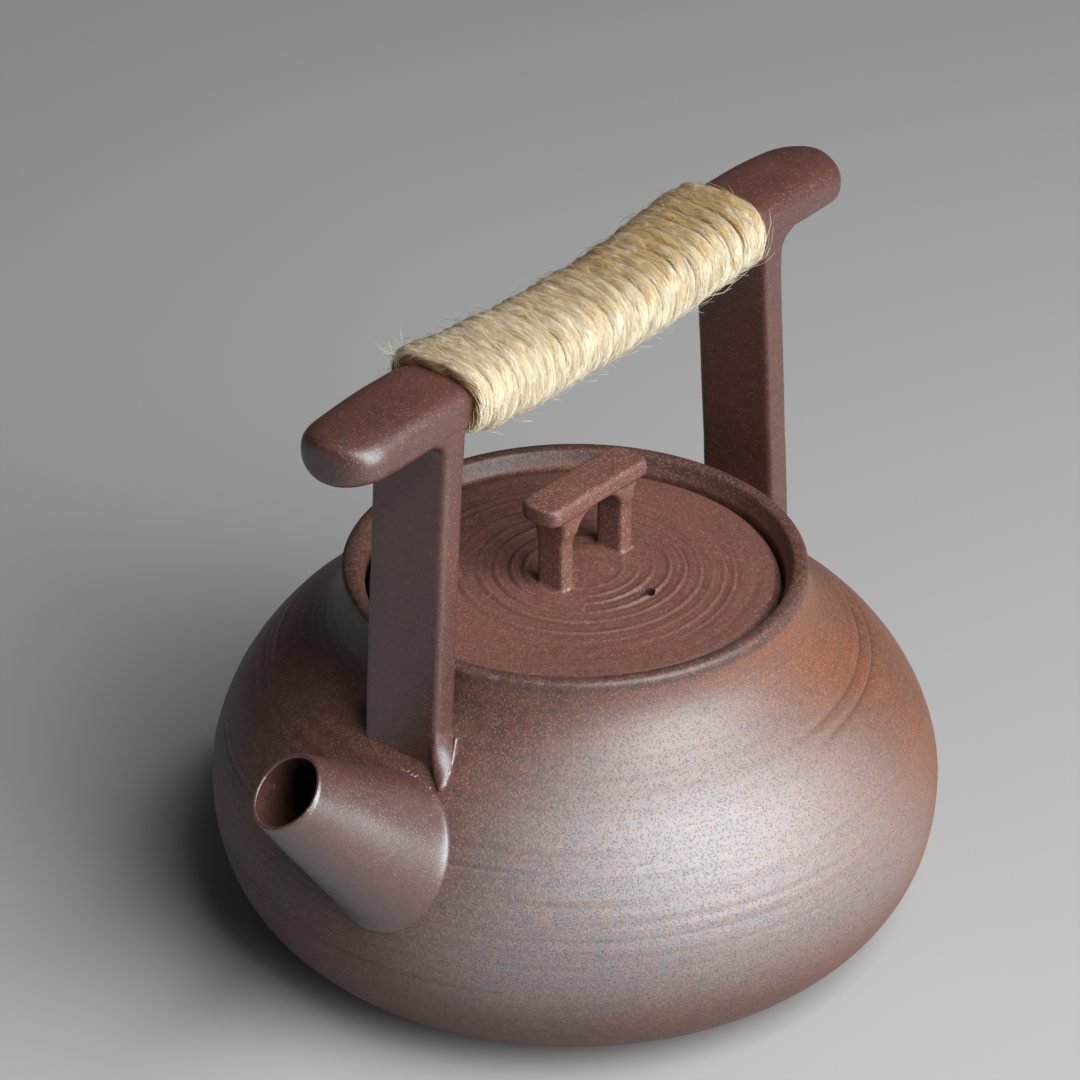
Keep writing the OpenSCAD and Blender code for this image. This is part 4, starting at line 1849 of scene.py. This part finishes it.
        strand = np.repeat(draw.uniform(*self.hair_strands, (count, 3)), rows * 3, 0)
        self.mark(mesh, strand, tone, np.repeat(painted_top_shade, rows * 3))
        return mesh

    def dress(self, cord: Mesh, hairs: Mesh) -> None:
        """Shows the cord and its fibres in jute."""
        self.show(cord, "jute_twine", JUTE_CORD.material(), "twine_wrap")
        self.show(hairs, "jute_twine", JUTE_HAIR.material())


@dataclass
class Lid(SubAssembly):
    """The loose lid: a thrown disc with its ring below, a steam hole and the bridge knob."""

    edge_round: float = 2.8 * MM
    flange_t: float = 3.2 * MM
    steam_r: float = 1.8 * MM
    steam_out: float = 16.6 * MM
    steam_turn: float = 98.0
    steam_past: float = 2 * MM
    steam_sides: int = 32
    rings: tuple[Span, ...] = (
        (8.6, 0.2), (11.7, 0.3), (14.4, 0.34), (17.8, 0.4), (21.0, 0.4), (24.7, 0.34), (27.3, 0.14),
        (30.0, 0.2), (32.3, 0.2), (36.0, 0.08))
    ring_half: float = 0.44 * MM
    ring_turn: float = 60.0
    ring_share: float = 0.95
    ring_back: float = 2.4 * MM
    ring_true: float = 16 * MM
    ring_lip: float = 0.45
    ring_lip_off: float = 1.7
    ring_sway: Waver = Waver(31, 3, 30 * MM, 0.35 * MM)
    ring_fade: Waver = Waver(33, 3, 12 * MM, 0.4)
    ring_level: float = 0.8
    ring_limits: Span = (0.2, 1.4)
    ring_even: float = 0.7
    ring_lit: float = 0.3
    mark_low: float = 1.5 * MM
    mark_edge: float = 2 * MM
    mark_fade: float = 3 * MM
    dents: Waver = Waver(35, 9, 4 * MM, 0.05 * MM)
    top_step: float = 0.3 * MM
    under_step: float = 0.8 * MM
    leg_t: float = 3.8 * MM
    leg_w: float = 6.8 * MM
    leg_sink: float = 1 * MM
    leg_inset: float = 0.7
    leg_foot: float = 3 * MM
    leg_foot_rows: int = 18
    leg_step: float = 0.5 * MM
    leg_rows: int = 44
    leg_into: float = 1.2 * MM
    knob_round: float = 1.1 * MM
    knob_arch: float = 7.0 * MM
    knob_outer: float = 3.0 * MM
    knob_foot: float = 0.5 * MM
    knob_tilt: float = 1.1 * MM
    knob_crown: float = 0.25 * MM
    knob_power: float = 2.6
    knob_end: float = 0.3
    knob_rows: int = 60
    knob_reach: float = 0.985
    knob_least: float = 0.4 * MM
    knob_thin: float = 0.8
    knob_closed: float = 0.999
    sides: int = 400
    ring_sides: int = 56
    grain: float = 0.24 * MM
    relax: int = 3

    body = "lid"

    def __post_init__(self) -> None:
        """Takes the main sizes from the frame."""
        low, high = box_of("lid_plate")
        self.lid_r, self.bottom, self.top = high[0], low[2], high[2]
        low, high = box_of("lid_flange")
        self.flange_r, self.flange_low = high[0], low[2]
        self.knob_low, self.knob_high = box_of("knob_bar")
        legs = ("knob_front_leg", "knob_rear_leg")
        self.leg_places = [float(np.mean([corner[0] for corner in box_of(leg)])) for leg in legs]

    def outline(self) -> Array:
        """Half outline from the middle of the top, round the edge and the ring, to the middle below.

        Returns:
            Radius and height of each point.
        """
        edge = arc((self.lid_r - self.edge_round, self.top - self.edge_round), self.edge_round, 90, 0)
        top = resample(np.vstack([[(0.0, self.top)], edge, [(self.lid_r, self.bottom)]]), self.top_step)
        ring = self.flange_r - self.flange_t
        under = resample(np.array([
            (self.lid_r, self.bottom), (self.flange_r, self.bottom), (self.flange_r, self.flange_low),
            (ring, self.flange_low), (ring, self.bottom), (0.0, self.bottom)]), self.under_step)
        return np.vstack([soften(top, 4), soften(under, 1)[1:]])

    def marks(self, outline: Array) -> Array:
        """Throwing rings on the top, off centre towards the middle as the potter left them.

        Args:
            outline: Half outline of the disc.

        Returns:
            How far each point of the turned disc is raised.
        """
        turn = around(self.sides)[None, :]
        radius = outline[1:-1, 0, None]
        on_top = outline[1:-1, 1, None] > self.bottom + self.mark_low
        on_top = on_top * ease((self.lid_r - self.mark_edge - radius) / self.mark_fade)
        back = self.ring_back * (1 - ease((radius - self.ring_true) / self.ring_true))
        own = np.hypot(radius * np.cos(turn) + back, radius * np.sin(turn)) + self.ring_sway.at(turn, radius)
        level = self.ring_level + self.ring_fade.at(turn, radius)
        strength = self.ring_share * np.clip(level, *self.ring_limits)
        strength = strength * (self.ring_even + self.ring_lit * np.cos(turn - math.radians(self.ring_turn)))
        move = self.dents.at(turn, radius)
        for middle, depth in self.rings:
            away = (own - middle * MM) / self.ring_half
            lip = self.ring_lip * np.exp(-((away - self.ring_lip_off) ** 2))
            move = move - depth * MM * strength * (np.exp(-(away**2)) - lip)
        return move * on_top

    def disc(self) -> Mesh:
        """The thrown disc with the steam hole through it.

        Returns:
            The disc.
        """
        outline = self.outline()
        mesh = mesh_of("lid_disc", *lathe(outline, self.sides, self.marks(outline)))
        place = self.steam_out * direction(self.steam_turn)
        past = np.array([0.0, 0.0, self.steam_past])
        low, high = (place + np.array([0.0, 0.0, height]) for height in (self.bottom, self.top))
        return carved(mesh, rod(low - past, high + past, self.steam_r, self.steam_sides))

    def leg(self, place: float) -> Skin:
        """A slab leg that arches into the bar above and spreads on to the lid below.

        Args:
            place: Where the leg stands along the knob.

        Returns:
            The leg's points and faces.
        """
        under = self.knob_low[2]
        inward = math.copysign(1.0, (self.knob_low[0] + self.knob_high[0]) / 2 - place)
        widest = (self.knob_high[1] - self.knob_low[1]) / 2 - self.leg_inset * self.knob_round
        foot = self.top + self.leg_foot
        low = np.linspace(self.top - self.leg_sink, foot, self.leg_foot_rows)
        high = np.linspace(foot + self.leg_step, under + self.leg_into, self.leg_rows)
        rings = []
        for height in np.concatenate([low, high]):
            spread = max(0.0, self.knob_foot - max(0.0, height - self.top)) ** 2 / self.knob_foot
            half_t, half_w = self.leg_t / 2 + spread, self.leg_w / 2 + spread
            ring = rounded_ring(half_t, half_w, self.leg_t / 4, self.ring_sides)
            inner, outer = (fillet(radius, under - height) for radius in (self.knob_arch, self.knob_outer))
            x = ring[:, 0] + np.where(ring[:, 0] * inward > 0, inward * inner, -inward * outer)
            y = ring[:, 1] * min(1 + inner / (self.leg_w / 2), widest / (self.leg_w / 2))
            rings.append(np.column_stack([place + x, y, np.full(len(ring), height)]))
        return skin(np.stack(rings))

    def bridge(self) -> Skin:
        """The knob's bar: a small slab with soft ends, a little crowned.

        Returns:
            The bar's points and faces.
        """
        half = (self.knob_high - self.knob_low) / 2
        middle = (self.knob_high + self.knob_low) / 2
        end = self.knob_end * half[1] * 2
        rings = []
        for part in np.sin(np.linspace(-math.pi / 2, math.pi / 2, self.knob_rows) * self.knob_reach):
            x = half[0] * part
            inset = max(0.0, abs(x) - half[0] + end) / end
            close = (1 - min(inset, self.knob_closed) ** self.knob_power) ** (1 / self.knob_power)
            wide = max(half[1] * close, self.knob_least)
            thick = half[2] * (self.knob_thin + (1 - self.knob_thin) * close)
            ring = rounded_ring(wide, thick, self.knob_round, self.ring_sides)
            height = middle[2] + ring[:, 1] - self.knob_crown * part * part
            rings.append(np.column_stack([np.full(len(ring), middle[0] + x), ring[:, 0], height]))
        return skin(np.stack(rings))

    def knob(self) -> Mesh:
        """The bridge knob, pressed into one piece that sinks a little towards the back.

        Returns:
            The knob.
        """
        legs = [self.leg(place) for place in self.leg_places]
        mesh = fused("lid_knob", [self.bridge(), *legs], self.grain, self.relax)
        points = points_of(mesh)
        back = (self.knob_high[0] - points[:, 0]) / (self.knob_high[0] - self.knob_low[0])
        share = np.clip((points[:, 2] - self.top) / (self.knob_high[2] - self.top), 0, 1)
        points[:, 2] -= self.knob_tilt * back * share
        return moved(mesh, points)

    def dress(self, disc: Mesh, knob: Mesh, tools: ClayTools) -> None:
        """Shows the lid in the redder clay, and its knob in the same, rubbed by fingers."""
        self.show(disc, "lid_clay", LID_CLAY.material(tools), "lid_plate", "lid_flange")
        self.show(knob, "lid_clay", KNOB_CLAY.material(tools), "knob_bar", "knob_front_leg", "knob_rear_leg")


# The studio


@dataclass
class Studio:
    """Pale floor, one soft lamp and the camera at the photograph's viewing angle."""

    floor_half: float = 4.0
    floor_colour: Colour = (0.47, 0.47, 0.47)
    floor_bounce: Colour = (0.11, 0.11, 0.11)
    floor_rough: float = 0.8
    floor_gloss: float = 0.2
    world_colour: Colour = (1.0, 1.0, 1.0)
    world_strength: float = 0.04
    lamp_turn: float = 85.0
    lamp_rise: float = 36.0
    lamp_distance: float = 1.0
    lamp_size: Span = (0.8, 1.3)
    lamp_power: float = 22.4
    lamp_target: Triple = (0.0, 0.0, 0.06)
    camera_turn: float = 37.98
    camera_rise: float = 35.08
    camera_distance: float = 1.0
    focal_px: float = 4734.0
    frame_px: float = 1080.0
    base_px: Span = (575.1, 880.3)
    sensor: float = 36.0

    def floor(self) -> None:
        """Lays the pale floor."""
        points = self.floor_half * np.array([(-1, -1, 0), (1, -1, 0), (1, 1, 0), (-1, 1, 0)])
        mesh = mesh_of("floor", points, [(0, 1, 2, 3)])
        material, board = new_material("pale_floor")
        rays = board.add("LightPath").outputs
        seen = board.math("MAXIMUM", rays["Is Camera Ray"], rays["Is Glossy Ray"])
        seen = board.math("MAXIMUM", seen, rays["Is Transmission Ray"])
        colour = board.layers(self.floor_bounce, (seen, self.floor_colour))
        board.shade({
            "Base Color": colour, "Roughness": self.floor_rough, "Specular IOR Level": self.floor_gloss})
        mesh.materials.append(material)
        piece = placed("floor", mesh)

    def light(self) -> None:
        """Sets the dim surroundings and hangs the soft lamp."""
        world = bpy.data.worlds.new("studio")
        world.use_nodes = True
        surroundings = world.node_tree.nodes["Background"].inputs
        surroundings["Strength"].default_value = self.world_strength
        surroundings["Color"].default_value = opaque(self.world_colour)
        bpy.context.scene.world = world
        back = Vector(direction(self.lamp_turn, self.lamp_rise))
        data = bpy.data.lights.new("main_softbox", "AREA")
        data.shape = "RECTANGLE"
        data.size, data.size_y = self.lamp_size
        data.energy = self.lamp_power
        lamp = placed("main_softbox", data)
        lamp.location = Vector(self.lamp_target) + back * self.lamp_distance
        lamp.visible_camera = False
        lamp.rotation_euler = back.to_track_quat("Z", "Y").to_euler()
        bpy.context.scene.view_settings.view_transform = "Standard"

    def camera(self) -> None:
        """Places the camera so that the base's middle falls on its pixel of the photograph."""
        back = Vector(direction(self.camera_turn, self.camera_rise))
        half = self.frame_px / 2
        across, down = self.base_px
        seen = Vector(((across - half) / self.focal_px, (half - down) / self.focal_px, -1.0))
        aim = Vector((0.0, 0.0, -1.0)).rotation_difference(seen.normalized())
        data = bpy.data.cameras.new("camera")
        data.sensor_width = self.sensor
        data.lens = self.focal_px * self.sensor / self.frame_px
        camera = placed("camera", data)
        camera.location = back * self.camera_distance
        camera.rotation_euler = (back.to_track_quat("Z", "Y") @ aim.inverted()).to_euler()
        bpy.context.scene.camera = camera

    def build(self) -> None:
        """Sets up the whole studio."""
        self.floor()
        self.light()
        self.camera()


def main() -> None:
    """Builds the sub-assemblies in order, then the studio, and notes the sizes."""
    logging.basicConfig(level=logging.INFO, format="%(name)s: %(message)s")
    tools = ClayTools()
    body_clay = BODY_CLAY.material(tools)
    pot, spout, handle, twine, lid = PotShell(), Spout(), Handle(), TwineWrap(), Lid()
    pot.dress(pot.build(spout), body_clay)
    spout.dress(spout.build(pot), SPOUT_CLAY.material(tools))
    handle.dress(handle.build(pot), HANDLE_CLAY.material(tools))
    twine.route(handle)
    twine.dress(twine.cord(), twine.hairs())
    lid.dress(lid.disc(), lid.knob(), tools)
    Studio().build()


if __name__ == "__main__":
    main()
